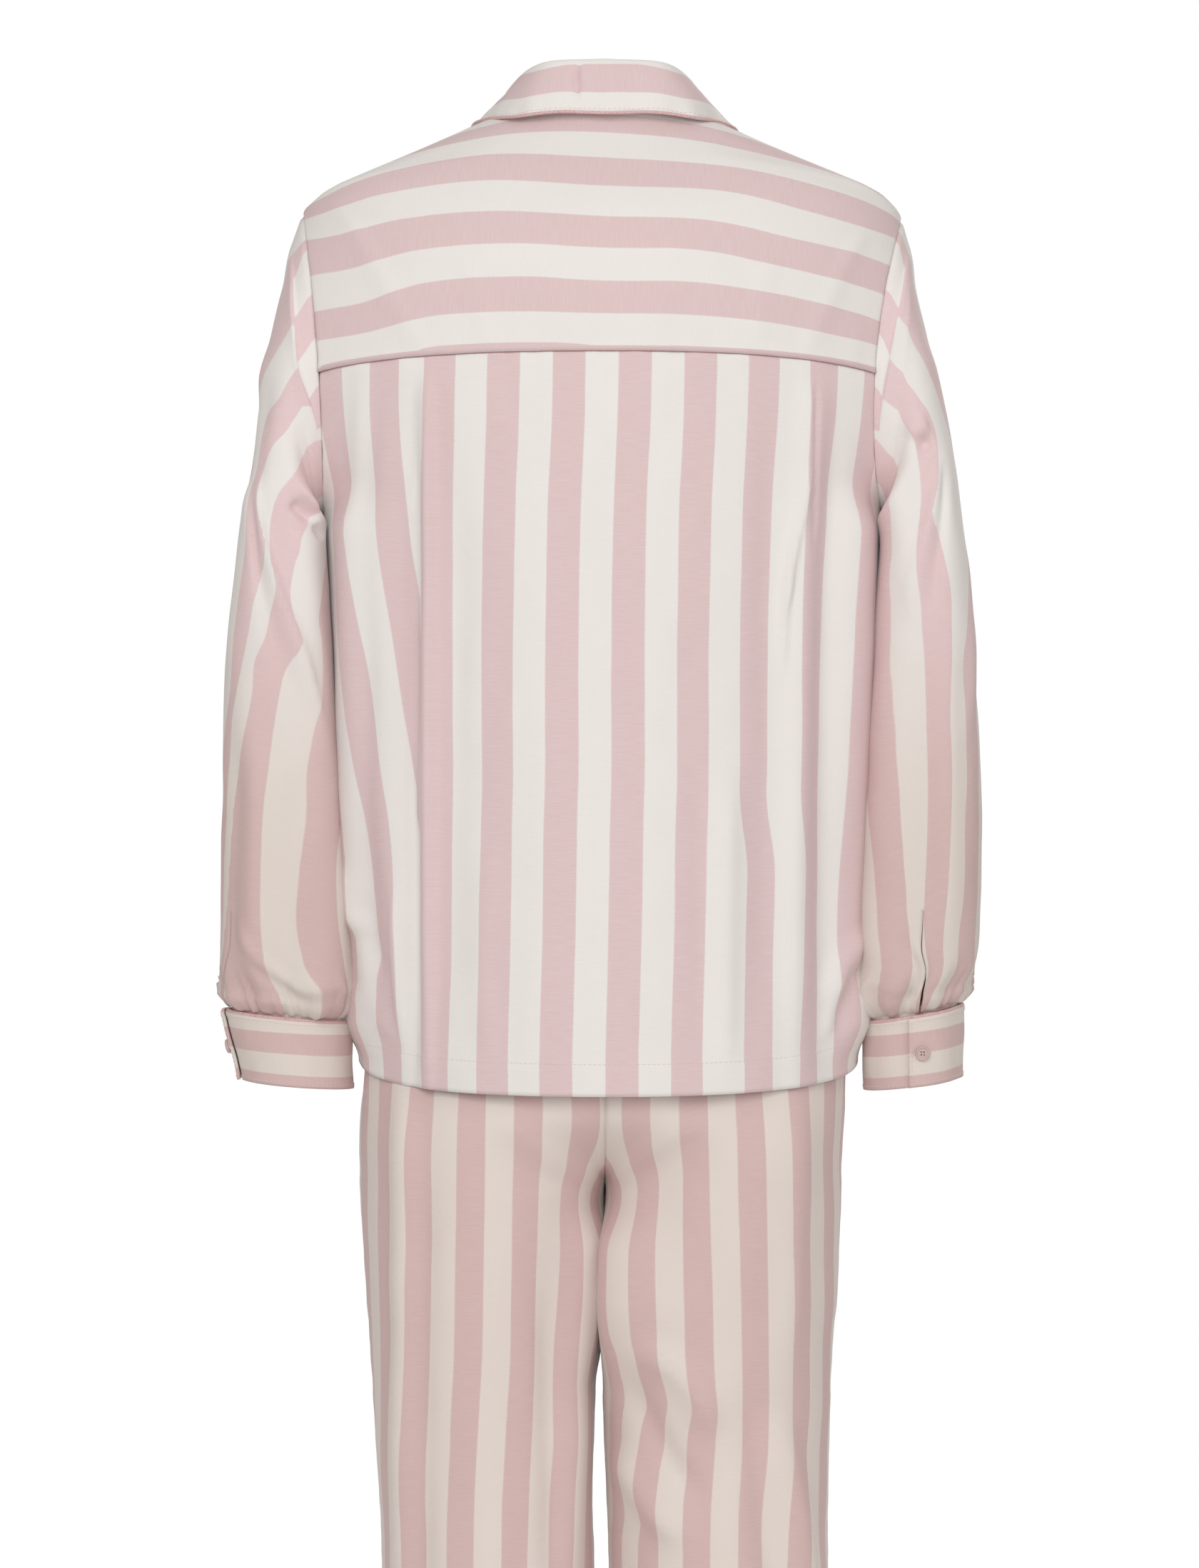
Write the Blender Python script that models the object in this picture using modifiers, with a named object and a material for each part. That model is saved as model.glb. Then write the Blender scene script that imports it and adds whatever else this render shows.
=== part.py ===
"""Pyjama set: a long-sleeved jacket with a turned-down collar, over straight trousers.

The set keeps the filled-out form of being worn, with the arms down. Metres, +Z up. The back
faces -Y, the wearer's right is +X, and the origin lies midway between the shoulders.
Each cloth piece is an open sheet, laid out by a function of (across, up) and given its
thickness by a Solidify modifier, so neck, armholes, hems and cuffs stay open.
"""
import math

import bmesh
import bpy
from mathutils import Vector

LEFT = -1
RIGHT = 1
SIDES = {LEFT: "left", RIGHT: "right"}

CLOTH = 0.0013
BAND = 0.0022
SEAM_GAP = 0.0003
SLEEVE_GAP = 0.0019
PIPING_RADIUS = 0.0011
BUTTON_THICKNESS = 0.0024
BUTTON_CLEAR = 0.0008

PINK = (0.80, 0.60, 0.59)
CREAM = (0.84, 0.81, 0.76)
BUTTON_PINK = (0.60, 0.42, 0.40)


def rows(names, *values):
    """A short table: one dictionary for each row, keyed by the column names."""
    return [dict(zip(names, row)) for row in values]


def read(table, key, at, column):
    """Smooth value of a column where the key column holds at."""
    first, last = table[0], table[-1]
    if at <= first[key]:
        return first[column]
    if at >= last[key]:
        return last[column]
    low = max(i for i in range(len(table) - 1) if table[i][key] <= at)

    def slope(i):
        before, after = table[max(i - 1, 0)], table[min(i + 1, len(table) - 1)]
        return (after[column] - before[column]) / (after[key] - before[key])

    here, there = table[low], table[low + 1]
    span = there[key] - here[key]
    s = (at - here[key]) / span
    bend = here[column] * (2 * s**3 - 3 * s**2 + 1) + there[column] * (3 * s**2 - 2 * s**3)
    return bend + span * (slope(low) * (s**3 - 2 * s**2 + s) + slope(low + 1) * (s**3 - s**2))


def mix(a, b, share):
    return a + (b - a) * share


def ease(share):
    share = min(max(share, 0.0), 1.0)
    return share * share * (3 - 2 * share)


# ---------------------------------------------------------------- jacket: sizes and rings

# Armhole seam: a tall oval on edge between the shoulder tip and the underarm.
ARMHOLES = {
    LEFT: {"tip_x": 0.2065, "tip_z": -0.033, "under_x": 0.1930, "under_z": -0.240,
           "back_scoop": 0.0055, "front_scoop": 0.016},
    RIGHT: {"tip_x": 0.2025, "tip_z": -0.037, "under_x": 0.1880, "under_z": -0.238,
            "back_scoop": 0.0125, "front_scoop": 0.016},
}
ARMHOLE_DEPTH = 0.063
YOKE_BACK_TURN = 93
YOKE_FRONT_TURN = -30

# Half widths of the jacket at the side seams.
SIDE_SEAM = rows(
    ("z", LEFT, RIGHT),
    (-0.612, 0.1692, 0.1735),
    (-0.570, 0.1695, 0.1722),
    (-0.500, 0.1730, 0.1715),
    (-0.420, 0.1790, 0.1755),
    (-0.340, 0.1850, 0.1805),
    (-0.280, 0.1895, 0.1848),
    (-0.238, 0.1930, 0.1880),
)
HEM_SIDE_Z = -0.612

# Centre back and centre front, from the hem to the yoke seams (up 0 to 1).
BACK_UNDERARM = 0.78
BACK_RINGS = rows(
    ("up", "z", "depth"),
    (0.00, -0.626, 0.1300),
    (0.20, -0.528, 0.1270),
    (0.40, -0.428, 0.1245),
    (0.60, -0.328, 0.1225),
    (0.78, -0.238, 0.1215),
    (1.00, -0.1295, 0.1180),
)
FRONT_UNDERARM = 0.60
FRONT_RINGS = rows(
    ("up", "z", "depth"),
    (0.00, -0.620, 0.1280),
    (0.15, -0.525, 0.1235),
    (0.30, -0.430, 0.1225),
    (0.45, -0.335, 0.1310),
    (0.60, -0.238, 0.1360),
    (0.70, -0.165, 0.1260),
    (0.80, -0.098, 0.1090),
    (0.90, -0.034, 0.0780),
    (1.00, 0.0360, 0.0220),
)

# Yoke, from its back seam over the shoulders to the neckline (up 0 to 1).
YOKE_TIP = 0.60
YOKE_FRONT = 0.76
YOKE_RINGS = rows(
    ("up", "z", "depth"),
    (0.000, -0.1290, 0.1180),
    (0.133, -0.1040, 0.1178),
    (0.266, -0.0790, 0.1160),
    (0.400, -0.0545, 0.1115),
    (0.532, -0.0320, 0.1020),
    (0.665, -0.0115, 0.0885),
    (0.798, 0.0085, 0.0735),
    (0.931, 0.0290, 0.0600),
    (1.000, 0.0405, 0.0540),
)
NECK_CORNER = Vector((0.0660, 0.0220, 0.0360))
# The right shoulder hangs a little lower than the left one, beside the neck too.
NECK_DROP = {LEFT: 0.0, RIGHT: 0.0070}
SHOULDER_DIP = {LEFT: 0.0025, RIGHT: 0.0050}

# The largest folds of the jacket's back: lengthwise ridges and troughs beside the shoulder
# blades, at the share of the half width where they start and end.
BACK_FOLDS = rows(
    ("top", "foot", "width", "height"),
    (-0.655, -0.640, 0.065, 0.0105),
    (-0.800, -0.790, 0.060, -0.0015),
    (0.720, 0.760, 0.065, 0.0090),
    (0.570, 0.610, 0.070, -0.0035),
)
# The folds fade out just under the yoke seam, and lean a little to the side.
FOLD_FADE = 0.12
FOLD_SIDE_PUSH = 0.35
BACK_DROP = 3.0
YOKE_DROP = 2.4
# Tuck folds of the fronts, from the bust to the hem.
FRONT_FOLDS = rows(
    ("top", "foot", "width", "height"),
    (0.45, 0.50, 0.10, 0.0050),
    (0.72, 0.76, 0.08, -0.0012),
)

# Front opening: the right front laps over the left one; above the break the edge is a V.
LAP = 0.016
BREAK_UP = 0.665
NECKLINE_BEND = 0.9
LAPEL_TOP_UP = 0.905
RIGHT_OVER_LEFT = 0.0040
# The fronts are oval rings as far as the chest, and above it run straight from the neckline
# to the armhole.
CHEST_TOP_UP = 0.80
FRONT_DROP = 2.2


def armhole(side, turn):
    """Point of the armhole seam: turn 0 is the shoulder tip, 90 the back, 180 the underarm."""
    hole = ARMHOLES[side]
    rise = math.cos(math.radians(turn))
    back = math.sin(math.radians(turn))
    scoop = hole["back_scoop"] if back > 0 else hole["front_scoop"]
    x = mix(hole["under_x"], hole["tip_x"], (1 + rise) / 2) - scoop * back * back
    z = mix(hole["under_z"], hole["tip_z"], (1 + rise) / 2)
    return Vector((side * x, -ARMHOLE_DEPTH * back, z))


def side_seam(side, z):
    return Vector((side * read(SIDE_SEAM, "z", z, side), 0.0, z))


def ring_point(share, end, centre_z, depth, drop):
    """Point of a ring from the centre back (share 0) to an end point (share 1).

    The ring is an oval as far as the side; past it, over the shoulder, it runs straight on.
    The larger the drop, the nearer to the end the ring leaves the centre's height.
    """
    z = mix(centre_z, end.z, share**drop)
    if end.y <= 0:
        reach = abs(end.x) / math.sqrt(1 - (end.y / depth) ** 2)
        turn = share * math.asin(abs(end.x) / reach)
        return Vector((math.copysign(reach * math.sin(turn), end.x), -depth * math.cos(turn), z))
    quarter = math.pi / 2 * math.sqrt((end.x**2 + depth**2) / 2)
    side_share = quarter / (quarter + end.y)
    if share > side_share:
        return Vector((end.x, end.y * (share - side_share) / (1 - side_share), z))
    turn = math.pi / 2 * share / side_share
    return Vector((end.x * math.sin(turn), -depth * math.cos(turn), z))


def fold_offset(table, share, up, fade):
    """How far the folds of a table push the cloth out at a share of the width."""
    total = 0.0
    for fold in table:
        middle = mix(fold["foot"], fold["top"], up)
        total += fold["height"] * math.exp(-(((share - middle) / fold["width"]) ** 2))
    return total * fade


def back_point(across, up):
    """Back panel: across -1 (left) to 1 (right), up from the hem to the yoke seam."""
    side = LEFT if across < 0 else RIGHT
    if up < BACK_UNDERARM:
        end = side_seam(side, mix(HEM_SIDE_Z, ARMHOLES[side]["under_z"], up / BACK_UNDERARM))
    else:
        turn = mix(180, YOKE_BACK_TURN, (up - BACK_UNDERARM) / (1 - BACK_UNDERARM))
        end = armhole(side, turn)
    depth = read(BACK_RINGS, "up", up, "depth")
    point = ring_point(abs(across), end, read(BACK_RINGS, "up", up, "z"), depth, BACK_DROP)
    out = fold_offset(BACK_FOLDS, across, up, ease((1 - up) / FOLD_FADE))
    return point + Vector((FOLD_SIDE_PUSH * side * out, -out, 0.0))


def front_seam(side, share):
    """Seam between front and yoke, from the armhole (share 0) to the neckline (share 1)."""
    outer = armhole(side, YOKE_FRONT_TURN)
    inner = Vector((side * NECK_CORNER.x, NECK_CORNER.y, NECK_CORNER.z - NECK_DROP[side]))
    point = outer.lerp(inner, share)
    point.z -= SHOULDER_DIP[side] * math.sin(math.pi * share)
    return point


def yoke_point(across, up):
    """Yoke: across -1 to 1 between the armholes, up from the back seam to the neckline."""
    side = LEFT if across < 0 else RIGHT
    if up < YOKE_TIP:
        end = armhole(side, mix(YOKE_BACK_TURN, 0, up / YOKE_TIP))
    elif up < YOKE_FRONT:
        end = armhole(side, mix(0, YOKE_FRONT_TURN, (up - YOKE_TIP) / (YOKE_FRONT - YOKE_TIP)))
    else:
        end = front_seam(side, (up - YOKE_FRONT) / (1 - YOKE_FRONT))
    z, depth = read(YOKE_RINGS, "up", up, "z"), read(YOKE_RINGS, "up", up, "depth")
    return ring_point(abs(across), end, z, depth, YOKE_DROP)


def front_edge_x(side, up):
    """Where the front's inner edge lies: the lap below the break, a V above it."""
    if up <= BREAK_UP:
        return -LAP
    return mix(-LAP, NECK_CORNER.x, ((up - BREAK_UP) / (1 - BREAK_UP)) ** NECKLINE_BEND)


def front_point(side, across, up, out=0.0):
    """Front panel: across 0 at the inner edge to 1 at the side, up from hem to yoke seam."""
    if up < FRONT_UNDERARM:
        end = side_seam(side, mix(HEM_SIDE_Z, ARMHOLES[side]["under_z"], up / FRONT_UNDERARM))
    else:
        turn = mix(180, 360 + YOKE_FRONT_TURN, (up - FRONT_UNDERARM) / (1 - FRONT_UNDERARM))
        end = armhole(side, turn)
    depth = read(FRONT_RINGS, "up", up, "depth")
    flat = ease((up - CHEST_TOP_UP) / (1 - CHEST_TOP_UP))
    x = mix(front_edge_x(side, up), abs(end.x), across)
    level = end.y / depth if end.y < 0.9 * depth else 0.9
    reach = abs(end.x) / math.sqrt(1 - level * level)
    oval_y = depth * math.sqrt(max(1 - (x / reach) ** 2, 0.0))
    y = mix(oval_y, mix(depth, end.y, across), flat)
    middle_z = read(FRONT_RINGS, "up", up, "z") - NECK_DROP[side] * flat
    z = mix(middle_z, end.z, mix(across**FRONT_DROP, across, flat))
    z -= SHOULDER_DIP[side] * math.sin(math.pi * across) * ease((up - 0.85) / 0.15)
    if across >= 1.0:
        y = end.y
    fade = ease((BREAK_UP - up) / 0.25) * ease(across / 0.25)
    y += fold_offset(FRONT_FOLDS, across, up, fade)
    if side == RIGHT:
        lapped = 1 - ease((x + LAP) / 0.07)
        y += RIGHT_OVER_LEFT * lapped * (1 - ease((up - CHEST_TOP_UP) / 0.15))
    point = Vector((side * x, y, z))
    if out:
        point += out * front_normal(side, across, up)
    return point


def front_normal(side, across, up):
    """Outward direction of the front panel at a point."""
    step = 0.01
    a0, a1 = max(across - step, 0.0), min(across + step, 1.0)
    u0, u1 = max(up - step, 0.0), min(up + step, 1.0)
    along = front_point(side, a1, up) - front_point(side, a0, up)
    rise = front_point(side, across, u1) - front_point(side, across, u0)
    normal = along.cross(rise).normalized()
    return normal if normal.y > 0 else -normal


# ---------------------------------------------------------------- sleeves and cuffs: sizes

# Outline of each sleeve below the armhole: outer and inner side, and how far it reaches
# to the back and the front.
SLEEVES = {
    LEFT: rows(
        ("down", "outer_x", "outer_z", "inner_x", "inner_z", "back_y", "front_y"),
        (0.06, 0.2160, -0.0567, 0.1945, -0.2412, -0.0650, 0.0645),
        (0.12, 0.2240, -0.0930, 0.1955, -0.2436, -0.0665, 0.0660),
        (0.18, 0.2323, -0.1330, 0.1958, -0.2490, -0.0670, 0.0665),
        (0.26, 0.2391, -0.1885, 0.1940, -0.2620, -0.0665, 0.0665),
        (0.35, 0.2467, -0.2520, 0.1906, -0.2860, -0.0650, 0.0660),
        (0.44, 0.2520, -0.3010, 0.1889, -0.3170, -0.0635, 0.0645),
        (0.53, 0.2564, -0.3500, 0.1856, -0.3560, -0.0620, 0.0625),
        (0.63, 0.2584, -0.4088, 0.1814, -0.4110, -0.0605, 0.0590),
        (0.73, 0.2599, -0.4677, 0.1768, -0.4690, -0.0590, 0.0550),
        (0.82, 0.2609, -0.5170, 0.1736, -0.5180, -0.0570, 0.0500),
        (0.89, 0.2620, -0.5470, 0.1718, -0.5500, -0.0540, 0.0440),
        (0.95, 0.2630, -0.5660, 0.1736, -0.5720, -0.0480, 0.0360),
    ),
    RIGHT: rows(
        ("down", "outer_x", "outer_z", "inner_x", "inner_z", "back_y", "front_y"),
        (0.06, 0.2085, -0.0567, 0.1895, -0.2392, -0.0650, 0.0645),
        (0.12, 0.2160, -0.0930, 0.1905, -0.2416, -0.0665, 0.0660),
        (0.18, 0.2235, -0.1330, 0.1910, -0.2470, -0.0670, 0.0665),
        (0.26, 0.2337, -0.1885, 0.1902, -0.2600, -0.0675, 0.0665),
        (0.35, 0.2405, -0.2520, 0.1867, -0.2840, -0.0665, 0.0660),
        (0.44, 0.2459, -0.3010, 0.1843, -0.3150, -0.0650, 0.0645),
        (0.53, 0.2499, -0.3500, 0.1814, -0.3560, -0.0635, 0.0625),
        (0.63, 0.2536, -0.4088, 0.1778, -0.4110, -0.0620, 0.0590),
        (0.73, 0.2552, -0.4677, 0.1748, -0.4690, -0.0605, 0.0550),
        (0.82, 0.2540, -0.5170, 0.1732, -0.5180, -0.0585, 0.0500),
        (0.89, 0.2515, -0.5450, 0.1738, -0.5500, -0.0550, 0.0440),
        (0.95, 0.2492, -0.5620, 0.1752, -0.5715, -0.0480, 0.0370),
    ),
}
# Lengthwise folds of the sleeves, at a turn round the arm (0 outer, 90 back, 180 inner).
SLEEVE_FOLDS = rows(
    ("turn_top", "turn_foot", "width", "height", "from", "to"),
    (62.0, 100.0, 22.0, 0.0055, 0.15, 0.60),
    (118.0, 125.0, 20.0, -0.0045, 0.20, 0.75),
    (250.0, 262.0, 26.0, 0.0050, 0.20, 0.80),
    (300.0, 290.0, 24.0, -0.0040, 0.25, 0.85),
)
SLEEVE_GATHERS = 9
GATHER_DEPTH = 0.0022
# The sleeves lie a little inward at the back, close to the jacket.
SLEEVE_SKEW = -0.22

# Cuffs: a straight band whose end laps over its start beside the sleeve's slit.
CUFFS = {
    LEFT: {"outer_x": 0.2600, "inner_x": 0.1738, "foot_outer_x": 0.2490, "foot_inner_x": 0.1725,
           "top_outer_z": -0.5780, "top_inner_z": -0.5860, "foot_outer_z": -0.6250,
           "foot_inner_z": -0.6310, "back_y": -0.0430, "front_y": 0.0210, "slit_turn": 12.0,
           "start_turn": -28.0, "button_turn": -10.0},
    RIGHT: {"outer_x": 0.2465, "inner_x": 0.1762, "foot_outer_x": 0.2460, "foot_inner_x": 0.1775,
            "top_outer_z": -0.5740, "top_inner_z": -0.5860, "foot_outer_z": -0.6225,
            "foot_inner_z": -0.6320, "back_y": -0.0450, "front_y": 0.0240, "slit_turn": 72.0,
            "start_turn": 60.0, "button_turn": 84.0},
}
# The gathered sleeve runs down inside the cuff's upper edge by a short neck.
CUFF_TUCK = 0.0026
SLEEVE_NECK_HEIGHT = 0.0045
CUFF_LAP_TURN = 38.0
CUFF_LAP_OUT = 0.0034
SLIT_START = 0.80
SLIT_HALF_WIDTH = 0.0014


def cuff_point(side, turn, down, inset=0.0):
    """Point round the cuff: turn 0 outer side, 90 back; down 0 at the top, 1 at the edge."""
    cuff = CUFFS[side]
    outer_x = mix(cuff["outer_x"], cuff["foot_outer_x"], down) - inset
    inner_x = mix(cuff["inner_x"], cuff["foot_inner_x"], down) + inset
    outer_z = mix(cuff["top_outer_z"], cuff["foot_outer_z"], down)
    inner_z = mix(cuff["top_inner_z"], cuff["foot_inner_z"], down)
    out = math.cos(math.radians(turn))
    back = math.sin(math.radians(turn))
    half_depth = (cuff["front_y"] - cuff["back_y"]) / 2 - inset
    x = mix(inner_x, outer_x, (1 + out) / 2)
    z = mix(inner_z, outer_z, (1 + out) / 2)
    y = (cuff["back_y"] + cuff["front_y"]) / 2 - half_depth * back
    return Vector((side * x, y, z))


def sleeve_point(side, turn, down):
    """Point round the sleeve: turn 0 outer side, 90 back; down 0 at the armhole, 1 at the cuff."""
    seam = armhole(side, turn)
    seam.x += side * SLEEVE_GAP * (1 + 0.6 * max(math.cos(math.radians(turn)), 0.0))
    table = SLEEVES[side]
    first, last = table[0]["down"], table[-1]["down"]
    at = min(max(down, first), last)
    outer_x, outer_z, inner_x, inner_z, back_y, front_y = (
        read(table, "down", at, name)
        for name in ("outer_x", "outer_z", "inner_x", "inner_z", "back_y", "front_y"))
    out = math.cos(math.radians(turn))
    back = math.sin(math.radians(turn))
    middle_y = (back_y + front_y) / 2
    swell = 1.0
    for fold in SLEEVE_FOLDS:
        middle = mix(fold["turn_top"], fold["turn_foot"], down)
        near = math.exp(-(((turn - middle) / fold["width"]) ** 2))
        span = ease((down - fold["from"]) / 0.12) * ease((fold["to"] - down) / 0.12)
        swell += near * span * fold["height"] / 0.06
    gather = ease((down - 0.84) / 0.10) * GATHER_DEPTH / 0.045
    swell += gather * math.cos(math.radians(turn * SLEEVE_GATHERS))
    y = middle_y - (front_y - back_y) / 2 * back * swell
    x = mix(inner_x, outer_x, 0.5) + (outer_x - inner_x) / 2 * out * swell
    x += SLEEVE_SKEW * y * ease(down / 0.35) * ease((0.97 - down) / 0.10)
    z = mix(inner_z, outer_z, (1 + out) / 2)
    arm = Vector((side * x, y, z))
    if down < first:
        return seam.lerp(arm, down / first)
    if down > last:
        foot = cuff_point(side, turn, 0.0, inset=BAND + CUFF_TUCK)
        foot.z += 2 * SEAM_GAP
        neck = foot + Vector((0.0, 0.0, SLEEVE_NECK_HEIGHT))
        middle = (1 + last) / 2
        if down < middle:
            return arm.lerp(neck, (down - last) / (middle - last))
        return neck.lerp(foot, (down - middle) / (1 - middle))
    return arm


# ---------------------------------------------------------------- trousers: sizes

CROTCH_TOP_Z = -0.585
CROTCH_Z = -0.697
TROUSER_WAIST_Z = -0.385

SEAT = rows(
    ("z", LEFT, RIGHT, "back_depth", "front_depth"),
    (-0.700, 0.1690, 0.1625, 0.1100, 0.0990),
    (-0.660, 0.1688, 0.1650, 0.1140, 0.1010),
    (-0.610, 0.1640, 0.1655, 0.1165, 0.1030),
    (-0.560, 0.1630, 0.1640, 0.1185, 0.1045),
    (-0.480, 0.1570, 0.1570, 0.1130, 0.1030),
    (-0.385, 0.1400, 0.1400, 0.0990, 0.0960),
)
LEGS = {
    LEFT: rows(
        ("z", "outer_x", "inner_x", "back_depth", "front_depth"),
        (-1.466, 0.1520, 0.0100, 0.0700, 0.0700),
        (-1.200, 0.1530, 0.0090, 0.0740, 0.0740),
        (-0.965, 0.1544, 0.0074, 0.0800, 0.0780),
        (-0.917, 0.1558, 0.0088, 0.0820, 0.0800),
        (-0.867, 0.1588, 0.0073, 0.0860, 0.0830),
        (-0.835, 0.1606, 0.0060, 0.0900, 0.0855),
        (-0.805, 0.1625, 0.0014, 0.0942, 0.0883),
        (-0.768, 0.1650, -0.0008, 0.1000, 0.0920),
        (-0.730, 0.1672, -0.0006, 0.1045, 0.0952),
        (-0.697, 0.1690, 0.0006, 0.1080, 0.0980),
    ),
    RIGHT: rows(
        ("z", "outer_x", "inner_x", "back_depth", "front_depth"),
        (-1.466, 0.1520, 0.0070, 0.0700, 0.0700),
        (-1.200, 0.1530, 0.0050, 0.0740, 0.0740),
        (-0.965, 0.1540, 0.0024, 0.0800, 0.0780),
        (-0.917, 0.1540, 0.0008, 0.0820, 0.0800),
        (-0.867, 0.1550, -0.0012, 0.0860, 0.0830),
        (-0.835, 0.1556, -0.0018, 0.0900, 0.0855),
        (-0.805, 0.1572, -0.0024, 0.0942, 0.0883),
        (-0.768, 0.1600, -0.0008, 0.1000, 0.0920),
        (-0.730, 0.1615, -0.0006, 0.1045, 0.0952),
        (-0.697, 0.1625, 0.0006, 0.1080, 0.0980),
    ),
}
# Below the crotch the inner legs lie one behind the other: how far forward each inner line is.
INNER_LEG_Y = rows(
    ("z", LEFT, RIGHT),
    (-0.870, 0.0000, 0.0000),
    (-0.835, 0.0080, -0.0080),
    (-0.805, 0.0180, -0.0180),
    (-0.768, 0.0240, -0.0240),
    (-0.730, 0.0180, -0.0180),
    (-0.697, 0.0030, -0.0030),
    (-0.680, 0.0000, 0.0000),
)
# Lengthwise folds of the trousers: share of the panel's width from the inner edge to the
# side seam, at the crotch and at the hem.
TROUSER_FOLDS = rows(
    ("side", "top", "foot", "width", "height"),
    (LEFT, 0.86, 0.88, 0.060, 0.0045),
    (LEFT, 0.30, 0.14, 0.090, 0.0045),
    (RIGHT, 0.20, 0.30, 0.090, 0.0055),
    (RIGHT, 0.72, 0.90, 0.070, 0.0050),
)
TROUSER_ROWS = rows(
    ("up", "z", "fork"),
    (0.00, -1.466, 90.0),
    (0.18, -1.260, 90.0),
    (0.36, -1.050, 90.0),
    (0.50, -0.890, 90.0),
    (0.60, -0.775, 90.0),
    (0.66, -0.697, 90.0),
    (0.80, -0.585, 0.0),
    (0.90, -0.485, 0.0),
    (1.00, -0.385, 0.0),
)


def fullest(leg_share):
    """Greatest value of the seat's and the leg's mixed squares, which keeps the depth full."""
    if leg_share <= 0.2:
        return 1 - leg_share
    high = (1 + 3 * leg_share) / (8 * leg_share)
    return (1 - leg_share) * high + 4 * leg_share * high * (1 - high)


def trouser_point(side, panel, across, up):
    """Trouser panel: panel -1 back or 1 front; across from the inner edge to the side seam."""
    low = max(i for i in range(len(TROUSER_ROWS) - 1) if TROUSER_ROWS[i]["up"] <= up)
    here, there = TROUSER_ROWS[low], TROUSER_ROWS[low + 1]
    share = (up - here["up"]) / (there["up"] - here["up"])
    fork = math.radians(mix(here["fork"], there["fork"], share))
    if 0 < fork < math.pi / 2:
        z = mix(CROTCH_TOP_Z, CROTCH_Z, math.sin(fork))
    else:
        z = mix(here["z"], there["z"], share)
    leg_share = math.sin(fork) ** 2
    depth_name = "back_depth" if panel < 0 else "front_depth"

    # The seat is a quarter oval round the hip and the leg a half oval round the thigh; over
    # the fork one turns into the other at full depth, and the centre seam curves under.
    seat_turn = math.radians(90 * across)
    leg_turn = math.radians(180 * across)
    outer = read(LEGS[side], "z", z, "outer_x")
    inner = read(LEGS[side], "z", z, "inner_x")
    seat_x = read(SEAT, "z", z, side) * math.sin(seat_turn)
    leg_x = mix(inner, outer, (1 - math.cos(leg_turn)) / 2)
    depth = mix(read(SEAT, "z", z, depth_name), read(LEGS[side], "z", z, depth_name), leg_share)
    fullness = mix(math.cos(seat_turn) ** 2, math.sin(leg_turn) ** 2, leg_share)
    point = Vector((mix(seat_x, leg_x, leg_share), 0.0, z))
    point.y = panel * depth * math.sqrt(max(fullness, 0.0) / fullest(leg_share))
    out = 0.0
    for fold in TROUSER_FOLDS:
        if fold["side"] == side:
            place = mix(fold["foot"], fold["top"], up)
            out += fold["height"] * math.exp(-(((across - place) / fold["width"]) ** 2))
    out *= ease((CROTCH_TOP_Z - 0.03 - z) / 0.10) * ease(across / 0.1) * ease((1 - across) / 0.06)
    point.y += panel * out + read(INNER_LEG_Y, "z", z, side) * ease(1 - 2 * across)
    point.x = side * point.x
    return point


# ---------------------------------------------------------------- building helpers

def clear_scene():
    for leftover in list(bpy.data.objects):
        bpy.data.objects.remove(leftover, do_unlink=True)


clear_scene()
collection = bpy.data.collections.new("pyjama_set")
bpy.context.scene.collection.children.link(collection)


def material(name, colour, roughness):
    made = bpy.data.materials.new(name)
    made.use_nodes = True
    shader = made.node_tree.nodes["Principled BSDF"]
    shader.inputs["Base Color"].default_value = (*colour, 1.0)
    shader.inputs["Roughness"].default_value = roughness
    shader.inputs["Metallic"].default_value = 0.0
    return made


PINK_COTTON = material("pink_cotton", PINK, 0.9)
CREAM_COTTON = material("cream_cotton", CREAM, 0.9)
PIPING_SATIN = material("piping_satin", PINK, 0.6)
BUTTON = material("button", BUTTON_PINK, 0.4)


def sheet(name, across, up, place, thickness, finish, closed=False, turned=False):
    """A cloth piece: a flat grid whose points are moved by place(across 0-1, up 0-1)."""
    bm = bmesh.new()
    bmesh.ops.create_grid(bm, x_segments=across, y_segments=up, size=0.5)
    for vert in bm.verts:
        vert.co = place(vert.co.x + 0.5, vert.co.y + 0.5)
    if closed:
        bmesh.ops.remove_doubles(bm, verts=bm.verts, dist=1e-5)
    if turned:
        bmesh.ops.reverse_faces(bm, faces=bm.faces)
    mesh = bpy.data.meshes.new(name)
    bm.to_mesh(mesh)
    bm.free()
    mesh.shade_smooth()
    piece = bpy.data.objects.new(name, mesh)
    piece.data.materials.append(finish)
    collection.objects.link(piece)
    wall = piece.modifiers.new("cloth thickness", "SOLIDIFY")
    wall.thickness = thickness
    wall.offset = -1.0
    return piece


def piping(name, points, radius):
    """A corded piping: a round tube through the given points."""
    curve = bpy.data.curves.new(name, "CURVE")
    curve.dimensions = "3D"
    curve.bevel_depth = radius
    curve.bevel_resolution = 1
    curve.use_fill_caps = True
    spline = curve.splines.new("POLY")
    spline.points.add(len(points) - 1)
    for spot, point in zip(spline.points, points):
        spot.co = (*point, 1.0)
    piece = bpy.data.objects.new(name, curve)
    piece.data.materials.append(PIPING_SATIN)
    collection.objects.link(piece)
    return piece


def button(name, centre, facing, diameter):
    """A flat round button with its face turned to the facing direction."""
    bm = bmesh.new()
    bmesh.ops.create_cone(bm, cap_ends=True, segments=16, radius1=diameter / 2,
                          radius2=diameter / 2 * 0.9, depth=BUTTON_THICKNESS)
    mesh = bpy.data.meshes.new(name)
    bm.to_mesh(mesh)
    bm.free()
    piece = bpy.data.objects.new(name, mesh)
    piece.rotation_euler = facing.to_track_quat("Z", "Y").to_euler()
    piece.location = centre
    piece.data.materials.append(BUTTON)
    collection.objects.link(piece)
    return piece


# ---------------------------------------------------------------- jacket: body

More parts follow.
